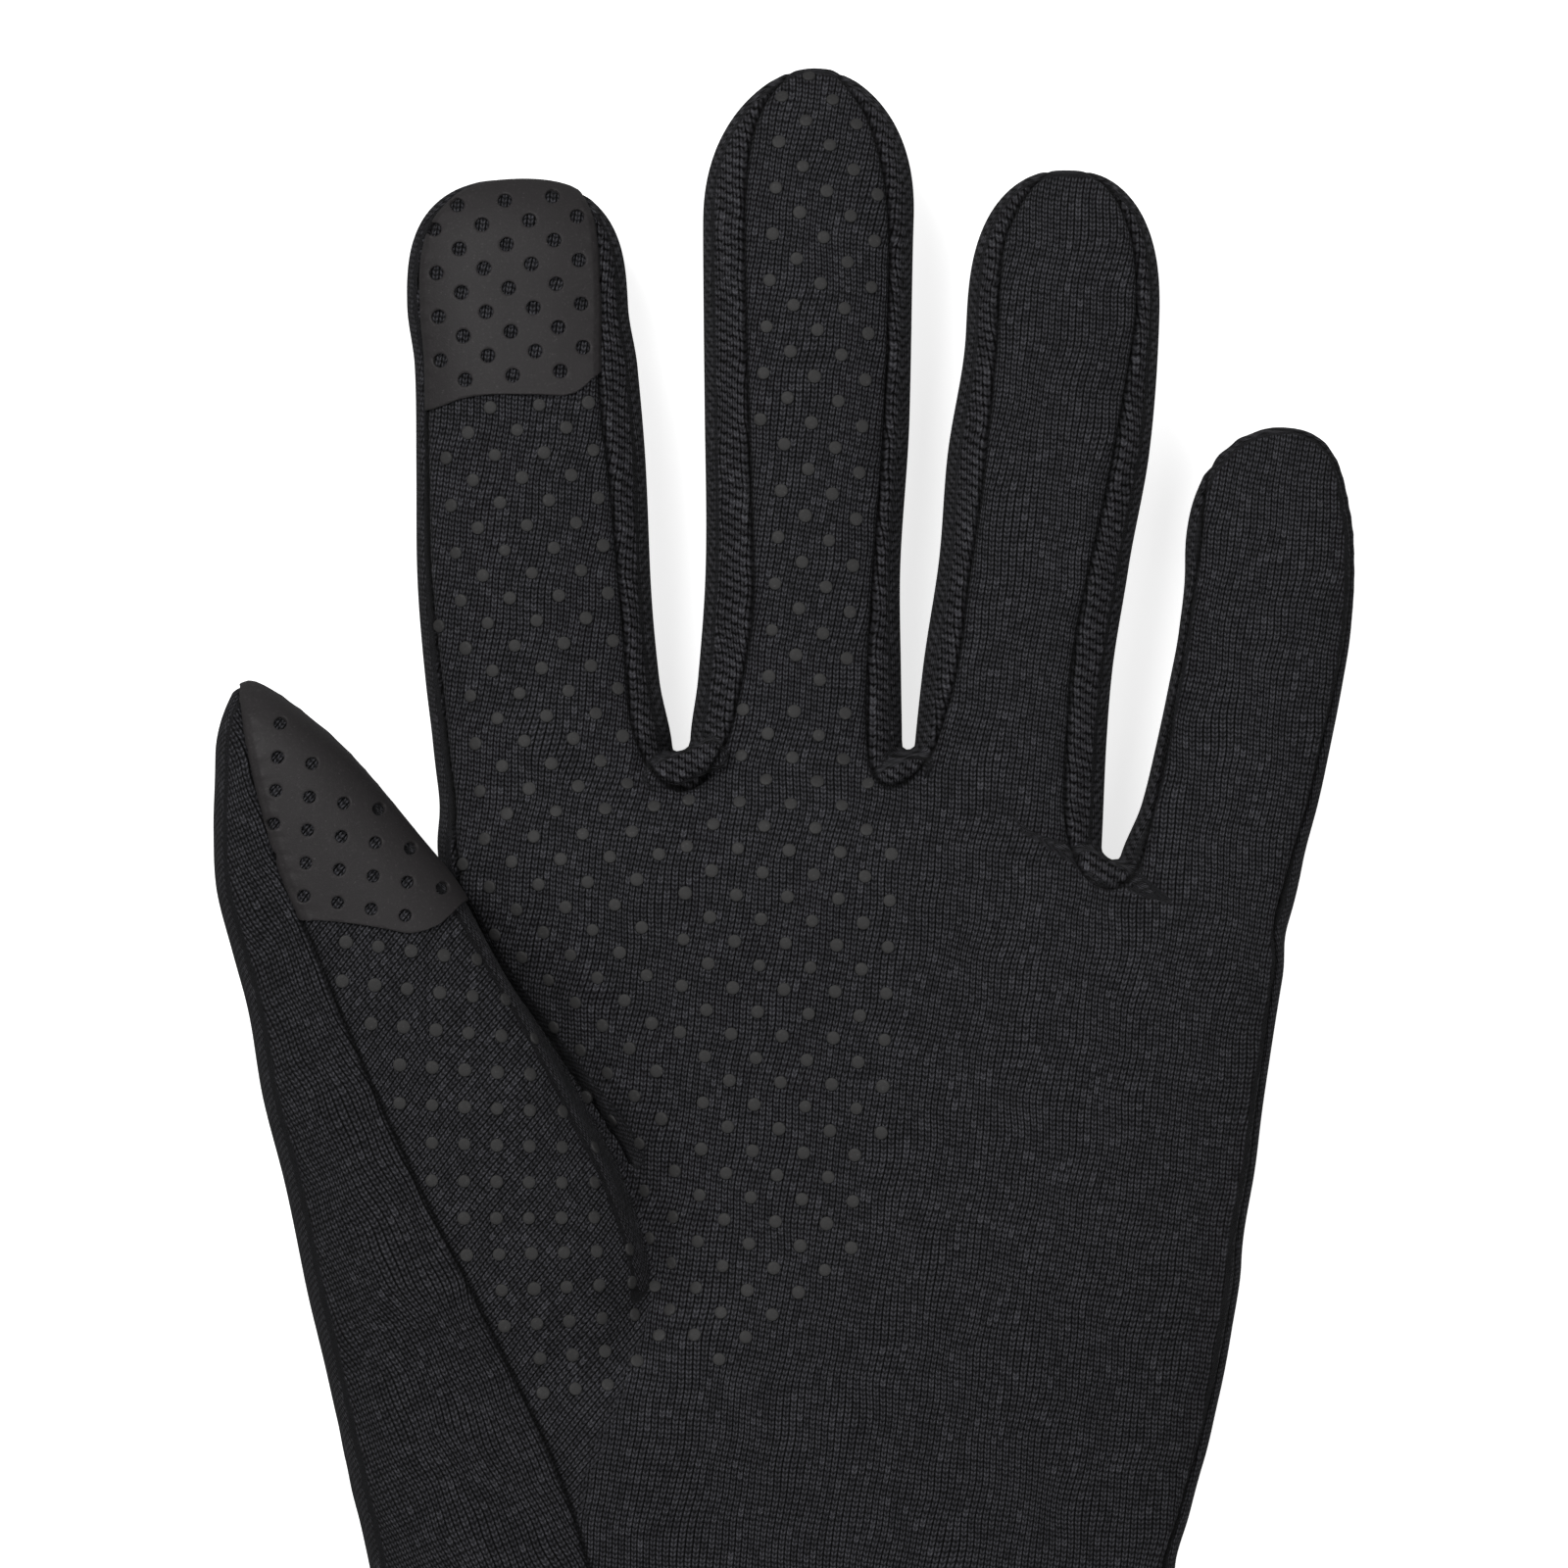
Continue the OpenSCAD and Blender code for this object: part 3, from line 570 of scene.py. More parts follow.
V, T = raw_surface()
V = settle(V)
locked = np.zeros(len(V), bool)
F = fields(*V.T)
V, T, g, locked, _ = cut(V, T, F["joined"] - F["slot"], locked)
V[g == 0] = settle_on_edge(V[g == 0])
rings = {n: np.vstack([spline(seam), air]) for n, (seam, air) in GAPS.items()}
for ring in rings.values():
    V, T, g, locked, _ = cut(V, T, polygon_distance(ring, V[:, 0], V[:, 1]), locked)
V, T, g, locked, _ = cut(V, T, V[:, 2] - side_level(V[:, 0], V[:, 1]), locked)
V, T, g, locked, _ = cut(V, T, line_distance(THUMB_SEAM, V[:, 0], V[:, 1]), locked)
V, T, g, locked, _ = cut(V, T, line_distance(BACK_SEAM, V[:, 0], V[:, 1]), locked)
F = fields(*V.T)
# Away from the line that is cut, a field only has to be far from nought.
front = np.where((F["nearer_thumb"] > 0) & (V[:, 1] > -18), thumb_wall(V), 5)
V, T, g, locked, _ = cut(V, T, front, locked)
V, T, g, locked, _ = cut(V, T, V[:, 1] - CUFF, locked)
for table in (STARTS, SPLITS):
    digit = digit_of(fields(*V.T))
    limit = np.array([table[n] for n in DIGITS])[digit]
    V, T, g, locked, _ = cut(V, T, progress(V, digit) - limit, locked)
pad_line = line_distance(INDEX_PAD, V[:, 0], V[:, 1])
V, T, g, locked, _ = cut(V, T, np.where((V[:, 1] > 60) & (V[:, 0] < -13), pad_line, -5), locked)
digit = digit_of(fields(*V.T))
pad_line = line_distance(THUMB_PAD, V[:, 0], V[:, 1])
V, T, g, locked, _ = cut(V, T, np.where((digit == 4) & (V[:, 1] > 5), pad_line, -5), locked)
T = T[centres(V, T)[:, 1] > CUFF]
flat_y = np.abs(V[:, 1] - CUFF) < 1e-6
V = settle(V, 1, 0.15)
V[flat_y, 1] = CUFF
# ---------------------------------------------------------------- which panel and which part of the hand
C = centres(V, T)
F = fields(*C.T)
digit = digit_of(F)
s = progress(C, digit)
seg = (s > np.array([STARTS[n] for n in DIGITS])[digit]).astype(int)
seg += s > np.array([SPLITS[n] for n in DIGITS])[digit]
on_thumb = digit == 4
right_of_front = line_distance(THUMB_SEAM, C[:, 0], C[:, 1]) > 0
right_of_back = line_distance(BACK_SEAM, C[:, 0], C[:, 1]) > 0
up = np.where(on_thumb, thumb_wall(C) > 0, C[:, 2] > side_level(C[:, 0], C[:, 1]))
PALM, BACK, SIDE = 0, 1, 2
panel = np.full(len(C), PALM)
panel[up & ~right_of_front] = SIDE
panel[~up] = BACK
panel[~up & ~right_of_back & (on_thumb | (C[:, 1] < 0))] = SIDE
panel[~up & on_thumb & (seg > 0)] = SIDE
for i, ring in enumerate(rings.values()):
    panel[(polygon_distance(ring, C[:, 0], C[:, 1]) < 0) & ~on_thumb] = 3 + i
on_index_pad = (panel == PALM) & (digit == 0) & (C[:, 1] > 60)
on_index_pad &= line_distance(INDEX_PAD, C[:, 0], C[:, 1]) > 0
on_thumb_pad = (panel == PALM) & on_thumb & (C[:, 1] > 5)
on_thumb_pad &= line_distance(THUMB_PAD, C[:, 0], C[:, 1]) > 0


def edges(T):
    """Each edge once: its ends, and the two triangles on it, -1 where there is only one."""
    e = np.vstack([T[:, [0, 1]], T[:, [1, 2]], T[:, [2, 0]]])
    owner = np.tile(np.arange(len(T)), 3)
    e.sort(1)
    order = np.lexsort((e[:, 1], e[:, 0]))
    e, owner = e[order], owner[order]
    first = np.ones(len(e), bool)
    first[1:] = (e[1:] != e[:-1]).any(1)
    start = np.nonzero(first)[0]
    count = np.diff(np.append(start, len(e)))
    second = np.where(count > 1, owner[np.minimum(start + 1, len(owner) - 1)], -1)
    return e[start], owner[start], second


def seam_tree(V, T, panel):
    """A search tree of points along the edges between two panels."""
    e, a, b = edges(T)
    on = (b >= 0) & (panel[a] != panel[np.maximum(b, 0)])
    e = e[on]
    p = np.vstack([V[e[:, 0]] + t * (V[e[:, 1]] - V[e[:, 0]]) for t in (0, 0.25, 0.5, 0.75, 1)])
    tree = KDTree(len(p))
    for i, q in enumerate(p):
        tree.insert(q, i)
    tree.balance()
    return tree


def seam_distance(tree, P, far=4.0):
    """How far each point is from the nearest seam, at most far."""
    out = np.full(len(P), far)
    for i, q in enumerate(P):
        found = tree.find(q)
        out[i] = min(far, found[2])
    return out


tree = seam_tree(V, T, panel)
labels = np.stack([panel, seg, digit, on_index_pad, on_thumb_pad], 1)
for ring_at in (0.5, 1.15):
    d = seam_distance(tree, V)
    V, T, g, locked, src = cut(V, T, d - ring_at, locked, snap=0.3)
    labels = labels[src]
d = seam_distance(tree, V)
panel, seg, digit = labels[:, 0], labels[:, 1], labels[:, 2]
N = vertex_normals(V, T)
FLAT_V = V.copy()
# height of the fabric by distance from a seam
SEAM = ([0, 0.5, 1.15, 2.2, 3.2], [-0.5, -0.08, 0.13, 0.05, 0])
pucker = 0.07 * np.sin(V[:, 1] * 2.9 + 1.3 * np.sin(V[:, 0] * 0.7)) * np.exp(-((d - 1.1) / 0.8)**2)
front_on = 0.3 + 0.7 * steps(np.abs(N[:, 2]), 0.3, 0.75)
V = V + N * (np.interp(d, *SEAM) * front_on + pucker)[:, None]
V[np.abs(FLAT_V[:, 1] - CUFF) < 1e-5, 1] = CUFF
V[:, 2] = np.maximum(V[:, 2], 0.02)

# ---------------------------------------------------------------- pieces
WALL = 1.3
# The fabric is thinner where the glove is too thin beside the slot for two layers of it.
thickness = np.full(len(V), WALL)
near_slot = (V[:, 0] < 0) & (V[:, 1] > -32) & (V[:, 1] < 50)
P, inward = V[near_slot], -N[near_slot]
fits = np.full(len(P), 0.12)
for w in (0.3, 0.6, 0.9, WALL):
    fits[(solid(P + inward * w) < -0.45 * w) & (fits > 0.4 * w)] = w
thickness[near_slot] = fits
NAMES = {}
for k, n in enumerate(DIGITS):
    for j, part in ((1, "base"), (2, "tip")):
        NAMES[PALM, k, j] = f"{n}_palm_{part}"
        NAMES[BACK, k, j] = NAMES[SIDE, k, j] = f"{n}_back_{part}"
for j, part in ((1, "base"), (2, "tip")):
    NAMES[3, 0, j] = f"index_fourchette_{part}"
    NAMES[3, 1, j] = f"middle_left_fourchette_{part}"
    NAMES[4, 1, j] = f"middle_right_fourchette_{part}"
    NAMES[4, 2, j] = f"ring_left_fourchette_{part}"
    NAMES[5, 2, j] = f"ring_right_fourchette_{part}"
    NAMES[5, 3, j] = f"little_fourchette_{part}"
HAND_NAMES = ["palm_panel", "back_panel", "thumb_side_panel",
              "fourchette_index_middle", "fourchette_middle_ring", "fourchette_ring_little"]


def name_of(row):
    """The CAD node that a panel, part of the digit and digit make."""
    p, s, k = row
    if s == 0:
        return HAND_NAMES[p]
    return NAMES.get((p, k, s)) or f"{DIGITS[k]}_back_{('base', 'tip')[s - 1]}"


weld = vertex_normals(V, T)
panel_normals = {}
for p in range(6):
    own = T[panel == p]
    panel_normals[p] = vertex_normals(V, own) if len(own) else weld


def build(name, verts, faces, loop_normals, rest, material):
    """A mesh object; faces is a list of arrays, each of faces with the same number of corners."""
    mesh = bpy.data.meshes.new(name)
    corners = np.concatenate([f.ravel() for f in faces]).astype(np.int32)
    sizes = np.concatenate([np.full(len(f), f.shape[1]) for f in faces]).astype(np.int32)
    mesh.vertices.add(len(verts))
    mesh.vertices.foreach_set("co", (verts * MM).astype(np.float32).ravel())
    mesh.loops.add(len(corners))
    mesh.loops.foreach_set("vertex_index", corners)
    mesh.polygons.add(len(sizes))
    mesh.polygons.foreach_set("loop_start", np.append(0, np.cumsum(sizes)[:-1]).astype(np.int32))
    mesh.polygons.foreach_set("use_smooth", np.ones(len(sizes), bool))
    mesh.update(calc_edges=True)
    attribute = mesh.attributes.new("rest", "FLOAT_VECTOR", "POINT")
    attribute.data.foreach_set("vector", rest.astype(np.float32).ravel())
    if loop_normals is not None:
        mesh.normals_split_custom_set(loop_normals)
    mesh.materials.append(material)
    obj = bpy.data.objects.new(name, mesh)
    bpy.context.scene.collection.objects.link(obj)
    return obj


def shell(name, V, T, normals, low, high, weld, material, rest=None):
    """A skin between two heights over the surface, closed along its borders."""
    used, local = np.unique(T, return_inverse=True)
    t = local.reshape(-1, 3)
    n = len(used)
    top = V[used] + weld[used] * high
    bottom = V[used] + weld[used] * (low if np.isscalar(low) else low[used][:, None])
    verts = np.vstack([top, bottom])
    e = np.vstack([t[:, [0, 1]], t[:, [1, 2]], t[:, [2, 0]]])
    key = np.minimum(e[:, 0], e[:, 1]) * n + np.maximum(e[:, 0], e[:, 1])
    _, inverse, count = np.unique(key, return_inverse=True, return_counts=True)
    rim = e[count[inverse] == 1]
    quads = np.stack([rim[:, 1], rim[:, 0], rim[:, 0] + n, rim[:, 1] + n], 1)
    faces = [t, t[:, ::-1] + n, quads]
    nv = normals[used]
    a, b, c = verts[quads[:, 0]], verts[quads[:, 1]], verts[quads[:, 2]]
    flat = np.cross(b - a, c - b)
    flat /= np.maximum(np.linalg.norm(flat, axis=1), 1e-9)[:, None]
    loops = np.vstack([nv[t.ravel()], -nv[t[:, ::-1].ravel()], np.repeat(flat, 4, 0)])
    r = (rest if rest is not None else V)[used]
    return build(name, verts, faces, loops, np.vstack([r, r]), material)


# ---------------------------------------------------------------- materials
def material(name):
    m = bpy.data.materials.new(name)
    m.use_nodes = True
    tree = m.node_tree
    return m, tree, tree.nodes["Principled BSDF"]


class Maths:
    """Short names for the shader's arithmetic."""

    def __init__(self, tree):
        self.tree = tree

    def op(self, kind, *args):
        n = self.tree.nodes.new("ShaderNodeMath")
        n.operation = kind
        for i, a in enumerate(args):
            if isinstance(a, (int, float)):
                n.inputs[i].default_value = a
            else:
                self.tree.links.new(a, n.inputs[i])
        return n.outputs[0]

    def add(self, a, b):
        return self.op("ADD", a, b)

    def sub(self, a, b):
        return self.op("SUBTRACT", a, b)

    def mul(self, a, b):
        return self.op("MULTIPLY", a, b)

    def mix(self, share, a, b):
        return self.add(self.mul(self.sub(1.0, share), a), self.mul(share, b))

    def step(self, x, a, b):
        n = self.tree.nodes.new("ShaderNodeMapRange")
        n.interpolation_type = "SMOOTHSTEP"
        self.tree.links.new(x, n.inputs[0])
        n.inputs[1].default_value, n.inputs[2].default_value = a, b
        return n.outputs[0]

    def noise(self, vector, scale, detail=2.0):
        n = self.tree.nodes.new("ShaderNodeTexNoise")
        n.inputs["Scale"].default_value, n.inputs["Detail"].default_value = scale, detail
        self.tree.links.new(vector, n.inputs["Vector"])
        return n.outputs["Fac"]

    def xyz(self, vector):
        n = self.tree.nodes.new("ShaderNodeSeparateXYZ")
        self.tree.links.new(vector, n.inputs[0])
        return n.outputs

    def pack(self, x, y, z=0.0):
        n = self.tree.nodes.new("ShaderNodeCombineXYZ")
        for i, a in enumerate((x, y, z)):
            if isinstance(a, (int, float)):
                n.inputs[i].default_value = a
            else:
                self.tree.links.new(a, n.inputs[i])
        return n.outputs[0]

    def attribute(self, name):
        n = self.tree.nodes.new("ShaderNodeAttribute")
        n.attribute_name = name
        return n.outputs


# How strongly the knit's height is painted into its colour as shade.
STITCH_SHADE_STRENGTH = 2.9


def stitches(m, a, b, wale, course):
    """The height of a plain knit at a (across, mm) and b (along, mm), and a number for each stitch."""
    u = m.op("DIVIDE", a, wale)
    v = m.op("DIVIDE", b, course)
    side = m.op("ABSOLUTE", m.sub(m.op("FRACT", u), 0.5))
    v = m.add(v, m.mul(side, -0.9))
    legs = m.sub(0.5, m.mul(m.op("COSINE", m.mul(side, 4 * math.pi)), 0.5))
    legs = m.sub(m.add(0.25, m.mul(legs, 0.75)),
                m.op("POWER", m.mul(side, 2.0), 8.0))
    rows = m.add(0.5, m.mul(m.op("COSINE", m.mul(v, 2 * math.pi)), 0.5))
    height = m.mul(legs, m.add(0.2, m.mul(rows, 0.8)))
    n = m.tree.nodes.new("ShaderNodeTexWhiteNoise")
    n.noise_dimensions = "2D"
    m.tree.links.new(m.pack(m.op("FLOOR", u), m.op("FLOOR", v)), n.inputs["Vector"])
    return height, n.outputs["Value"]


def knit(name, colour, wale=0.76, course=0.6, turn=0.0, ribs=0.0, thumb=False, depth=0.16, seam=True):
    """A plain knit, its columns turned by some degrees; ribs is the pitch of the slanting ribs of
    stretched fabric, and thumb says that the pattern turns where the thumb begins."""
    mat, tree, shader = material(name)
    m = Maths(tree)
    rest = m.attribute("rest")["Vector"]
    x, y, z = m.xyz(rest)
    normal = m.xyz(m.attribute("facing")["Vector"])
    side = m.step(m.op("ABSOLUTE", normal[2]), 0.60, 0.50)
    wobble = m.mul(m.sub(m.noise(rest, 0.09, 1.0), 0.5), 2.6)
    across = m.add(m.mix(side, x, z), wobble)
    along = m.add(y, m.mul(wobble, 0.6))

    def turned(deg):
        c, s = math.cos(math.radians(deg)), math.sin(math.radians(deg))
        return (m.add(m.mul(across, c), m.mul(along, s)),
                m.sub(m.mul(along, c), m.mul(across, s)))
    a, b = turned(turn)
    height, each = stitches(m, a, b, wale, course)
    if thumb:
        a2, b2 = turned(-39)[0], turned(-51)[1]
        height2, each2 = stitches(m, a2, b2, wale, course)
        uneven = m.mul(m.sub(m.noise(rest, 0.4), 0.5), 0.5)
        mask = m.step(m.add(m.attribute("thumb")["Fac"], uneven), 0.3, 0.7)
        height, each = m.mix(mask, height, height2), m.mix(mask, each, each2)
    if ribs:
        wave = m.op("SINE", m.mul(turned(62)[0], 2 * math.pi / ribs))
        wave = m.add(0.5, m.mul(wave, 0.5))
        height = m.add(m.mul(height, 0.75), m.mul(m.sub(wave, 0.35), 0.4))
    cloud = m.noise(rest, 0.9, 4.0)
    fuzz = m.noise(rest, 7.0, 3.0)
    height = m.add(height, m.mul(m.sub(fuzz, 0.5), 0.7))
    # Painted shade: the knit's height is painted into its colour, so the raised yarn is lighter and the gaps
    # between stitches and ribs are darker.
    light = m.mul(height, STITCH_SHADE_STRENGTH)
    light = m.mul(light, m.add(0.72, m.mul(each, 0.6)))
    light = m.mul(light, m.add(0.88, m.mul(cloud, 0.24)))
    # Painted highlight: rare single stitches are brightened to look like glints.
    painted_glint = m.op("POWER", each, 30.0)
    light = m.add(light, m.mul(painted_glint, 0.7))
    # Painted shade: the knit is darkened within about half a millimetre of a seam, as shade in the seam's
    # groove.
    if seam:
        clear = m.step(m.attribute("seam")["Fac"], 0.08, 0.6)
        light = m.mul(light, m.add(0.2, m.mul(clear, 0.8)))
    mixed = tree.nodes.new("ShaderNodeVectorMath")
    mixed.operation = "SCALE"
    mixed.inputs[0].default_value = colour
    tree.links.new(light, mixed.inputs["Scale"])
    tree.links.new(mixed.outputs[0], shader.inputs["Base Color"])
    rough = m.add(0.72, m.mul(fuzz, 0.25))
    tree.links.new(rough, shader.inputs["Roughness"])
    bump = tree.nodes.new("ShaderNodeBump")
    bump.inputs["Strength"].default_value = 0.9
    bump.inputs["Distance"].default_value = depth * MM
    tree.links.new(height, bump.inputs["Height"])
    tree.links.new(bump.outputs[0], shader.inputs["Normal"])
    shader.inputs["Specular IOR Level"].default_value = 0.1
    shader.inputs["Sheen Weight"].default_value = 0.02
    shader.inputs["Sheen Roughness"].default_value = 0.45
    return mat


def rubbery(name, colour, rough, grain, specular, depth):
    """A matt coating with a fine grain and a little dust."""
    mat, tree, shader = material(name)
    m = Maths(tree)
    rest = m.attribute("rest")["Vector"]
    fine = m.noise(rest, grain, 4.0)
    broad = m.noise(rest, 0.35, 3.0)
    light = m.add(0.8, m.add(m.mul(fine, 0.16), m.mul(broad, 0.24)))
    dust = m.op("POWER", m.noise(rest, 3.4, 1.0), 9.0)
    light = m.add(light, m.mul(dust, 7.0))
    mixed = tree.nodes.new("ShaderNodeVectorMath")
    mixed.operation = "SCALE"
    mixed.inputs[0].default_value = colour
    tree.links.new(light, mixed.inputs["Scale"])
    tree.links.new(mixed.outputs[0], shader.inputs["Base Color"])
    tree.links.new(m.add(rough - 0.08, m.mul(fine, 0.16)), shader.inputs["Roughness"])
    bump = tree.nodes.new("ShaderNodeBump")
    bump.inputs["Strength"].default_value = 0.6
    bump.inputs["Distance"].default_value = depth * MM
    tree.links.new(m.add(fine, m.mul(broad, 1.5)), bump.inputs["Height"])
    tree.links.new(bump.outputs[0], shader.inputs["Normal"])
    shader.inputs["Specular IOR Level"].default_value = specular
    return mat


PALM_KNIT = knit("palm_knit", (0.0228, 0.0227, 0.0256), turn=-8, thumb=True)
BACK_KNIT = knit("back_knit", (0.0228, 0.0227, 0.0256), turn=-8)
SIDE_KNIT = knit("side_panel_knit", (0.0205, 0.0204, 0.023), turn=26, wale=0.78, course=0.64)
GAP_KNIT = knit("fourchette_knit", (0.0262, 0.026, 0.029), ribs=1.05)
HEM_KNIT = knit("hem_knit", (0.0205, 0.0204, 0.023), seam=False)
PAD = rubbery("conductive_pad", (0.0262, 0.0241, 0.0249), 0.58, 6.0, 0.2, 0.05)
SILICONE = rubbery("grip_silicone", (0.0315, 0.031, 0.031), 0.6, 5.0, 0.2, 0.03)
THREAD = knit("hem_thread", (0.022, 0.022, 0.024), wale=0.3, course=0.4, turn=30, depth=0.05, seam=False)
PANEL_KNIT = {PALM: PALM_KNIT, BACK: BACK_KNIT, SIDE: SIDE_KNIT, 3: GAP_KNIT, 4: GAP_KNIT, 5: GAP_KNIT}

# ---------------------------------------------------------------- the fabric pieces
own_fields = fields(*FLAT_V.T)
THUMB_NEAR = steps(own_fields["palm_side"] - own_fields["thumb"], -2.5, 2.5)


def ride_or_blend(obj, part):
    """Part 0 rides on the hand; parts 1 and 2 stay where they are, with their place baked into the mesh."""
    if part == 0:
        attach(obj, "hand")
        return
    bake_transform(obj)


def add_attributes(obj, facing, thumb=None, seam=None):
    """What the materials read: which way the fabric faces, how near the thumb is, and how far a seam is,
    near which the knit is darkened as painted shade.
    """
    if seam is not None:
        a = obj.data.attributes.new("seam", "FLOAT", "POINT")
        a.data.foreach_set("value", seam.astype(np.float32))
    a = obj.data.attributes.new("facing", "FLOAT_VECTOR", "POINT")
    a.data.foreach_set("vector", facing.astype(np.float32).ravel())
    if thumb is not None:
        a = obj.data.attributes.new("thumb", "FLOAT", "POINT")
        a.data.foreach_set("value", thumb.astype(np.float32))


flat_normals = vertex_normals(FLAT_V, T)
groups = {}
for i, row in enumerate(zip(panel, seg, digit)):
    groups.setdefault(tuple(int(v) for v in row), []).append(i)
named = {}
for row, ids in groups.items():
    named.setdefault(name_of(row), [row, []])[1].extend(ids)
STRIP = 2.0  # length of the strips that a piece's width is measured in


def flat_size(faces, heading):
    """What a piece of knit was cut to: its width across the heading, its length along it, and its area."""
    a, b, c = (V[faces[:, i]] for i in range(3))
    area = np.linalg.norm(np.cross(b - a, c - a), axis=1) / 2
    at = (V @ heading)[faces]
    length = at.max() - at.min()
    count = max(2, round(length / STRIP))
    strips = np.histogram(at.mean(1), count, (at.min(), at.max()), weights=area)[0] * count / length
    width = max(np.percentile(strips, 90), area.sum() / length)
    return max(width, 10), max(length, 10), area.sum()


for name, (row, ids) in sorted(named.items()):
    faces = T[np.array(ids)]
    used = np.unique(faces)
    obj = shell(name + ".skin", V, faces, panel_normals[row[0]], -thickness, 0.0, weld,
                PANEL_KNIT[row[0]], FLAT_V)
    add_attributes(obj, np.vstack([flat_normals[used]] * 2), np.concatenate([THUMB_NEAR[used]] * 2),
                   np.concatenate([d[used], np.full(len(used), 4.0)]))
    ride_or_blend(obj, row[1])
    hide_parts(name)
    heading = np.array([*HEADING, 0]) if row[2] == 4 and row[1] > 0 else np.array([0, 1, 0])
    width, length, area = flat_size(faces, heading)


# ---------------------------------------------------------------- conductive pads
def refine(V, T):
    """Each triangle in four."""
    e = edges(T)[0]
    n = len(V)
    key = e[:, 0].astype(np.int64) * (n + 1) + e[:, 1]

    def mid(p, q):
        k = np.minimum(p, q).astype(np.int64) * (n + 1) + np.maximum(p, q)
        return n + np.searchsorted(key, k)
    V2 = np.vstack([V, (V[e[:, 0]] + V[e[:, 1]]) / 2])
    ab, bc, ca = mid(T[:, 0], T[:, 1]), mid(T[:, 1], T[:, 2]), mid(T[:, 2], T[:, 0])
    T2 = np.vstack([np.stack([T[:, 0], ab, ca], 1), np.stack([ab, T[:, 1], bc], 1),
                    np.stack([ca, bc, T[:, 2]], 1), np.stack([ab, bc, ca], 1)])
    return V2, T2


HOLE_CLEARANCE = 1.15


def hole_lattice(origin, pitch, rows, slope, lean, stagger, border, reach=9):
    """Places of holes whose rows rise by slope and whose columns lean by lean, where the surface faces up
    and the pad's border is clear of them."""
    out = []
    for j in range(-reach, reach + 1):
        for i in range(-reach, reach + 1):
            u = (i + (j % 2) * stagger) * pitch
            v = j * rows
            p = (origin[0] + u + v * lean, origin[1] + v + u * slope)
            hit, normal, _, _ = bvh.ray_cast(Vector((p[0], p[1], 60)), Vector((0, 0, -1)))
            clear = line_distance(border, *np.array(p)[:, None])[0] > HOLE_CLEARANCE
            if hit is not None and normal.z > 0.5 and clear:
                out.append(p)
    return np.array(out)


bvh = BVHTree.FromPolygons(V.tolist(), T.tolist())


def hole_distance(p, holes):
    return np.hypot(p[:, :1] - holes[:, 0], p[:, 1:2] - holes[:, 1]).min(1)


def pad(name, ids, holes, radius):
    """A perforated coating over the triangles ids of the glove."""
    used, local = np.unique(T[ids], return_inverse=True)
    P, Q = V[used], local.reshape(-1, 3)
    P, Q = refine(*refine(P, Q))
    P, Q = cut(P, Q, hole_distance(P, holes) - radius, np.zeros(len(P), bool))[:2]
    Q = Q[hole_distance(centres(P, Q), holes) > radius]
    used, local = np.unique(Q, return_inverse=True)
    P, Q = P[used], local.reshape(-1, 3)
    n = vertex_normals(P, Q)
    e, a, b = edges(Q)
    border = np.zeros(len(P), bool)
    border[e[b < 0].ravel()] = True
    obj = shell(name + ".skin", P + n * 0.25, Q, n, -0.2, 0.2, n, PAD, P)
    co = np.array([v.co for v in obj.data.vertices])
    half = len(co) // 2
    co[:half][border] -= n[border] * 0.12 * MM
    obj.data.vertices.foreach_set("co", co.ravel())
    add_attributes(obj, np.vstack([n, n]))
    ride_or_blend(obj, 2)
    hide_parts(name)


INDEX_HOLES = hole_lattice((-35.5, 99.2), 5.5, 2.56, 0.09, -0.05, 0.5, INDEX_PAD)
THUMB_HOLES = hole_lattice((-51.6, 23.9), 3.85, 3.8, -0.2, 0.05, 0.0, THUMB_PAD)
pad("index_touch_pad", np.nonzero(labels[:, 3])[0], INDEX_HOLES, 0.82)
pad("thumb_touch_pad", np.nonzero(labels[:, 4])[0], THUMB_HOLES, 0.72)

# ---------------------------------------------------------------- grip dots
def lattice(origin, pitch, rows, across_deg, along_deg, i_range, j_range):
    """A staggered lattice whose rows rise by across_deg and whose columns lean by along_deg."""
    ex = np.array([math.cos(math.radians(across_deg)), math.sin(math.radians(across_deg))])
    ey = np.array([-math.sin(math.radians(along_deg)), math.cos(math.radians(along_deg))])
    return [np.array(origin) + (i + (j % 2) / 2) * pitch * ex + j * rows * ey
            for j in range(*j_range) for i in range(*i_range)]


def palm_dot_kept(x, y):
    """Whether a dot is on the printed side of the slanting line across the palm."""
    right = np.interp(y, [-33, -24, -6.5, 31, 40], [-7.6, 6.7, 12.2, 12.4, 13])
    return x < right and y > np.interp(x, [-14, -7.6, 6.7, 11.9], [-36, -33.5, -25, -6.4])


dots = []
for p in lattice((-34.5, 77.8), 5.73, 2.8, 2.9, 5.9, (-8, 12), (-60, 4)):
    if p[0] < -14.2 and p[1] > -34:
        dots.append(("fabric", p))
for p in lattice((2.03, 106.06), 5.95, 2.72, -3.8, -3.8, (-4, 5), (-23, 5)):
    if p[1] > 45 and -6 < p[0] < 13:
        dots.append(("fabric", p))
for p in lattice((-8.4, 29.1), 5.95, 2.7, -2.1, -2.1, (-4, 6), (-26, 6)):
    if p[1] <= 45 and p[0] >= -14.2 and palm_dot_kept(*p):
        dots.append(("fabric", p))
for j in range(13):
    y = 14.0 - 4.36 * j
    drift = np.interp(j, [0, 3, 7, 10, 12], [1.4, 0.1, 0, 0.9, 1.6])
    fall = np.interp(j, [0, 7, 12], [-0.14, 0, 0.12])
    for i in range(-8, 8):
        x = -41.0 + 3.75 * i + drift
        dots.append(("thumb", np.array([x, y + (x + 40) * fall])))
DOT_SPACING = 3.2       # least distance between two dots
SEAM_CLEARANCE = 1.1
kept = []
batches = {}
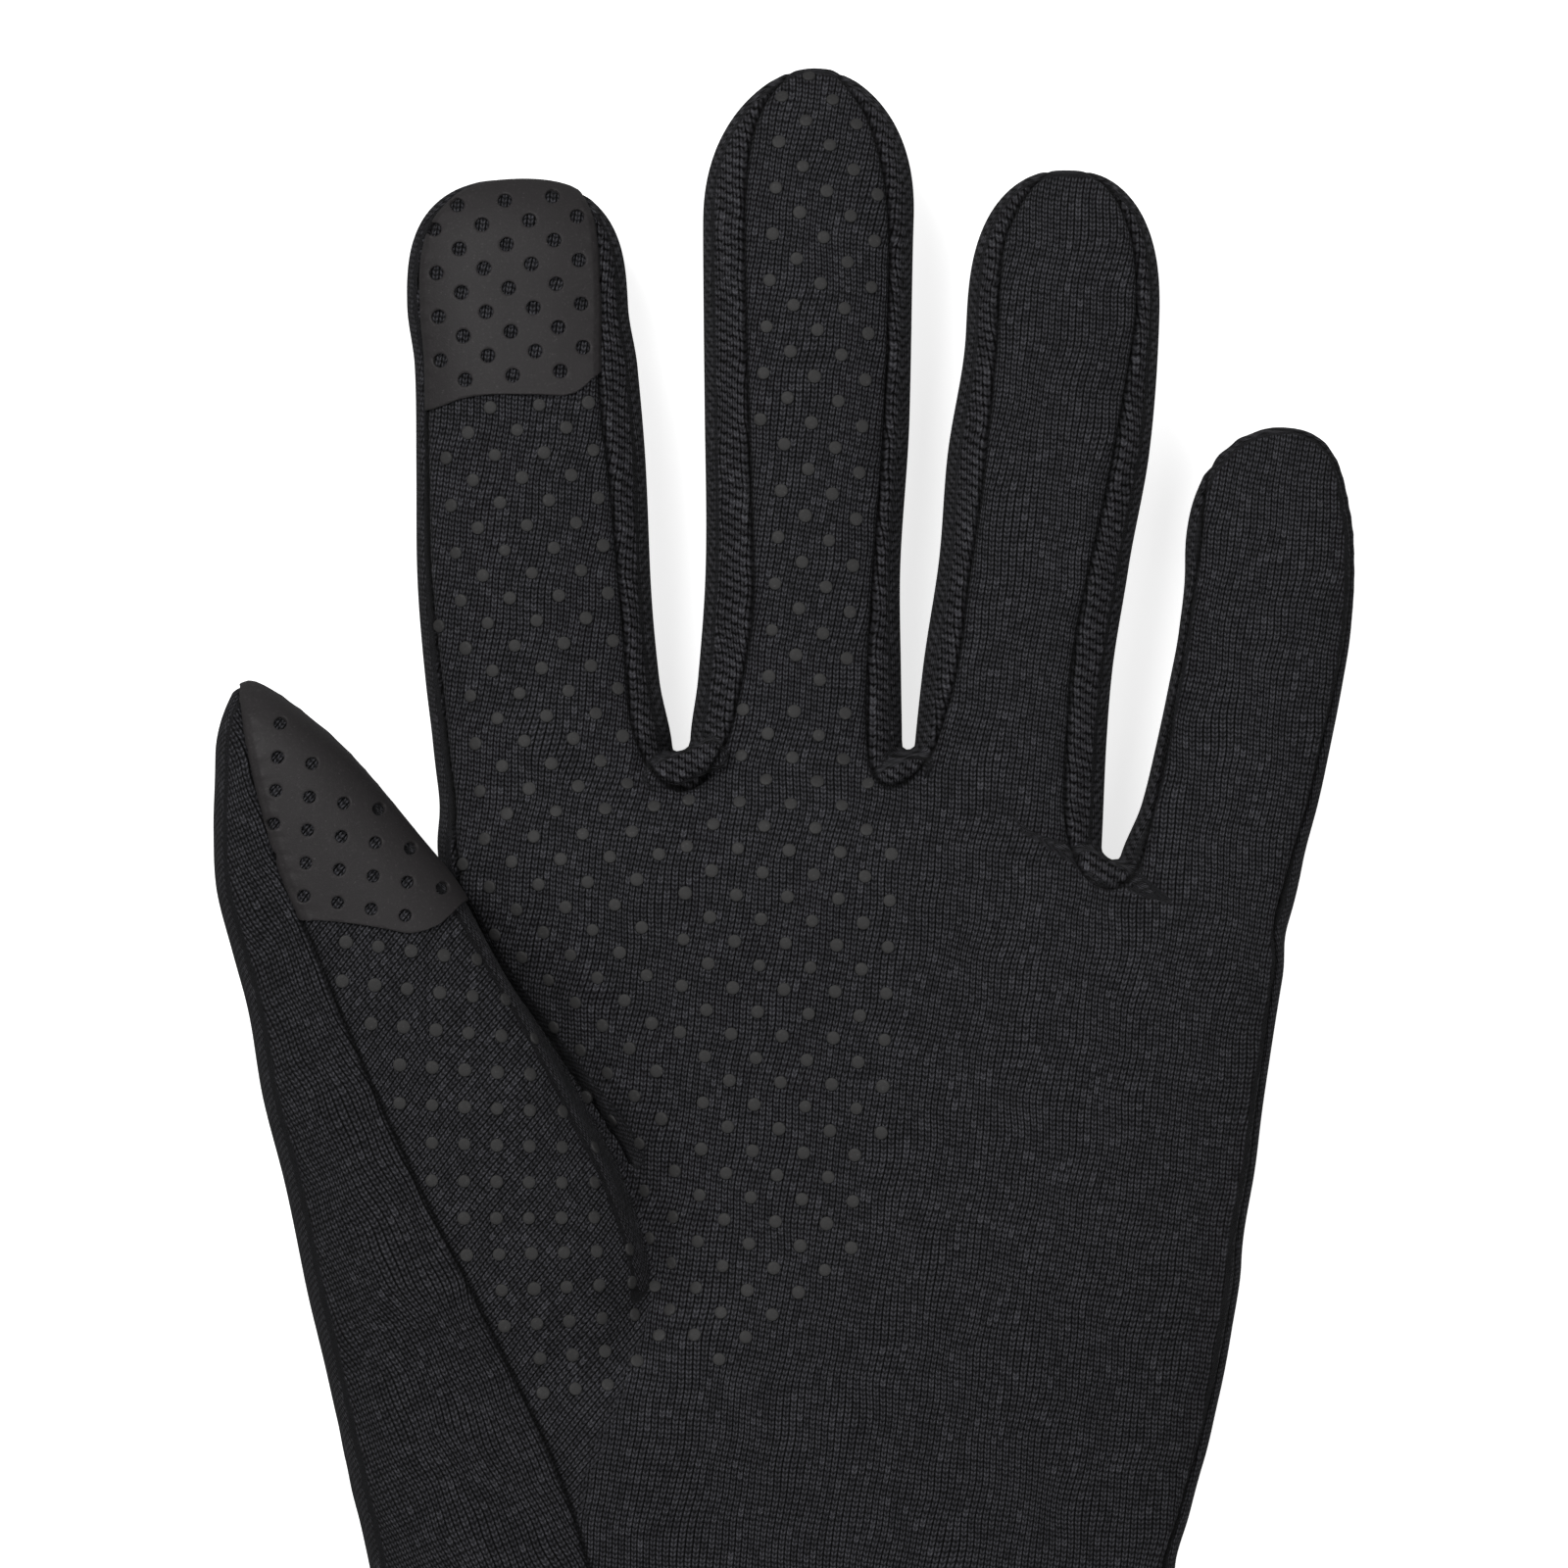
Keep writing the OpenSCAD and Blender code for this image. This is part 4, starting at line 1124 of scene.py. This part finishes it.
for kind, p in dots:
    hit, normal, face, _ = bvh.ray_cast(Vector((p[0], p[1], 60)), Vector((0, 0, -1)))
    if hit is None:
        continue
    pn, sg, dg, ip, tp = labels[face]
    thumb_here = THUMB_NEAR[T[face]].mean() > 0.5 and p[1] < 25
    if pn != PALM or ip or tp or thumb_here != (kind == "thumb") or dg in (2, 3) and p[1] > 30:
        continue
    if kind == "thumb" and p[0] > np.interp(p[1], [-36, -20, -12], [-14.5, -15.5, 0]):
        continue
    if tree.find(hit)[2] < SEAM_CLEARANCE or any((hit - k).length < DOT_SPACING for k in kept):
        continue
    if normal.z < (0.6 if p[0] < -36 and kind == "fabric" else 0.3):
        continue
    near_pad = line_distance(INDEX_PAD, *p[:, None])[0]
    if dg == 0 and p[1] > 60 and near_pad > -1.0:
        continue
    kept.append(hit)
    key = "palm_dots" if sg == 0 else f"{DIGITS[dg]}_{('base', 'tip')[sg - 1]}_dots"
    batches.setdefault(key, [int(sg), []])[1].append((np.array(hit), np.array(normal)))
# a dot's section: its radius and its height over the fabric
PROFILE = [(0.79, -0.25), (0.78, 0.11), (0.75, 0.18), (0.68, 0.215), (0.33, 0.23)]
ROUND = 20
for name, (part, group) in batches.items():
    verts, faces, caps = [], [], []
    for hit, normal in group:
        side = np.cross(normal, [0, 1, 0])
        side /= np.linalg.norm(side)
        other = np.cross(normal, side)
        base = len(verts)
        size = 1 + rng.normal(0, 0.03)
        for r, z in PROFILE:
            for k in range(ROUND):
                a = 2 * math.pi * k / ROUND
                q = (side * math.cos(a) + other * math.sin(a)) * r * size
                verts.append(hit + q + normal * z)
        caps.append([base + k for k in range(ROUND)][::-1])
        for level in range(len(PROFILE) - 1):
            for k in range(ROUND):
                p, q = base + level * ROUND + k, base + level * ROUND + (k + 1) % ROUND
                faces.append([p, q, q + ROUND, p + ROUND])
        caps.append([base + (len(PROFILE) - 1) * ROUND + k for k in range(ROUND)])
    verts = np.array(verts)
    obj = build(name + ".skin", verts, [np.array(caps), np.array(faces)], None, verts, SILICONE)
    ride_or_blend(obj, part)
    if name in frame["nodes"]:
        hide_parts(name)


def wrist_point(y, angle, lift):
    """A point round the cuff, standing off the fabric, and the way it faces."""
    c, w, cz, h = (float(v) for v in HAND.section(np.array(y)))
    n = HAND.n
    cx, sy = math.cos(angle), math.sin(angle)
    x = c + w * math.copysign(abs(cx)**(2 / n), cx)
    z = cz + h * math.copysign(abs(sy)**(2 / n), sy)
    nx = math.copysign(abs((x - c) / w)**(n - 1), x - c) / w
    nz = math.copysign(abs((z - cz) / h)**(n - 1), z - cz) / h
    size = math.hypot(nx, nz)
    return np.array([x + lift * nx / size, y, z + lift * nz / size]), np.array([nx / size, 0, nz / size])


def arc_angles(count):
    """Angles that share the cuff's length evenly."""
    a = np.linspace(0, 2 * math.pi, 2001)
    p = np.array([wrist_point(CUFF, t, 0)[0] for t in a])
    length = np.append(0, np.cumsum(np.linalg.norm(np.diff(p, axis=0), axis=1)))
    return np.interp(np.linspace(0, length[-1], count, endpoint=False), length, a), length[-1]


angles, around = arc_angles(420)
# the hem's section: along y from the cuff's edge, and its height off the fabric
SECTION = [(0.0, -1.25), (0.0, 0.2), (0.25, 0.55), (0.8, 0.72), (3, 0.74), (6, 0.74), (8.6, 0.70),
           (9.4, 0.52), (10.2, 0.70), (11.2, 0.74), (11.75, 0.6), (12.0, 0.3), (12.0, 0.02)]
verts, faces, rest = [], [], []
for i, a in enumerate(angles):
    for dy, lift in SECTION:
        wave = 0.05 * math.sin(i * 0.9 + dy) if 0.5 < dy < 11.5 else 0
        verts.append(wrist_point(CUFF + dy, a, lift + wave)[0])
        rest.append((around * i / len(angles), CUFF + dy, 0))
m = len(SECTION)
for i in range(len(angles)):
    for k in range(m - 1):
        p, q = i * m + k, ((i + 1) % len(angles)) * m + k
        faces.append([p, p + 1, q + 1, q])
    p, q = i * m, ((i + 1) % len(angles)) * m
    faces.append([p + m - 1, p, q, q + m - 1])
hem = build("cuff_hem.skin", np.array(verts), [np.array(faces)], None, np.array(rest, float), HEM_KNIT)
add_attributes(hem, np.tile([0, 0, 1.0], (len(verts), 1)))
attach(hem, "hand")
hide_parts("cuff_hem")

STITCH = 2.6
STITCH_ROWS = (8.9, 9.9)  # up from the cuff's edge
verts, faces, caps = [], [], []
count = int(around / STITCH)
stitch_angles = arc_angles(count * 12)[0]
for row_y in STITCH_ROWS:
    for i in range(count):
        path = []
        for k in range(9):
            t = k / 8
            at = (i + 0.1 + 0.8 * t) * 12
            a = np.interp(at, np.arange(len(stitch_angles)), stitch_angles)
            lift = 0.50 + 0.30 * math.sin(math.pi * t)**0.6
            path.append(wrist_point(CUFF + row_y, a, lift))
        base = len(verts)
        for k, (p, q) in enumerate(path):
            along = path[min(k + 1, 8)][0] - path[max(k - 1, 0)][0]
            along /= np.linalg.norm(along)
            side = np.cross(along, q)
            r = 0.17 if 0 < k < 8 else 0.1
            for j in range(6):
                g = 2 * math.pi * j / 6
                verts.append(p + r * (math.cos(g) * q + math.sin(g) * side))
        for k in range(8):
            for j in range(6):
                p, q = base + k * 6 + j, base + k * 6 + (j + 1) % 6
                faces.append([p, q, q + 6, p + 6])
        caps.append([base + j for j in range(6)][::-1])
        caps.append([base + 48 + j for j in range(6)])
verts = np.array(verts)
thread = build("hem_thread.skin", verts, [np.array(caps), np.array(faces)], None, verts, THREAD)
add_attributes(thread, np.tile([0, 0, 1.0], (len(verts), 1)))
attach(thread, "hand")
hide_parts("hem_thread")

# ---------------------------------------------------------------- floor, light and camera
scene = bpy.context.scene
floor_mesh = bpy.data.meshes.new("floor")
FLOOR, FLOOR_Z = 3, -0.0004
floor_mesh.from_pydata([(x * FLOOR, y * FLOOR, FLOOR_Z) for x, y in ((-1, -1), (1, -1), (1, 1), (-1, 1))],
                       [], [(0, 1, 2, 3)])
floor = bpy.data.objects.new("floor", floor_mesh)
scene.collection.objects.link(floor)
paper, _, shader = material("paper")
shader.inputs["Base Color"].default_value = (0.9, 0.9, 0.9, 1)
shader.inputs["Roughness"].default_value = 0.9
shader.inputs["Emission Color"].default_value = (1, 1, 1, 1)
shader.inputs["Emission Strength"].default_value = 0.75
floor_mesh.materials.append(paper)
floor.visible_diffuse = False
floor.visible_glossy = False

world = bpy.data.worlds.new("studio")
scene.world = world
world.use_nodes = True
world.node_tree.nodes["Background"].inputs[0].default_value = (1, 1, 1, 1)
world.node_tree.nodes["Background"].inputs[1].default_value = 0.26


def lamp(name, place, size, power, aim=(0, 0.03, 0.01)):
    light = bpy.data.lights.new(name, "AREA")
    light.shape, light.size, light.size_y, light.energy = "RECTANGLE", size[0], size[1], power
    obj = bpy.data.objects.new(name, light)
    obj.location = place
    obj.rotation_euler = (Vector(aim) - Vector(place)).to_track_quat("-Z", "Y").to_euler()
    scene.collection.objects.link(obj)
    return obj


lamp("key", (-0.5, 0.6, 1.1), (0.6, 0.6), 11)
lamp("fill", (0.7, -0.1, 1.0), (0.6, 0.9), 4)

SPAN = 0.184  # how much of the surface under the glove the picture spans
CENTRE = Vector((-0.17 * MM, 33.8 * MM, 0.012))
camera_data = bpy.data.cameras.new("camera")
camera_data.sensor_width = 36
camera_data.lens = 300
camera = bpy.data.objects.new("camera", camera_data)
camera.location = CENTRE + Vector((0, 0, SPAN * camera_data.lens / 36))
camera.rotation_euler = (0, 0, 0)
camera_data.clip_start, camera_data.clip_end = 0.01, 20
scene.collection.objects.link(camera)
scene.camera = camera
scene.view_settings.view_transform = "Standard"
scene.view_settings.look = "None"
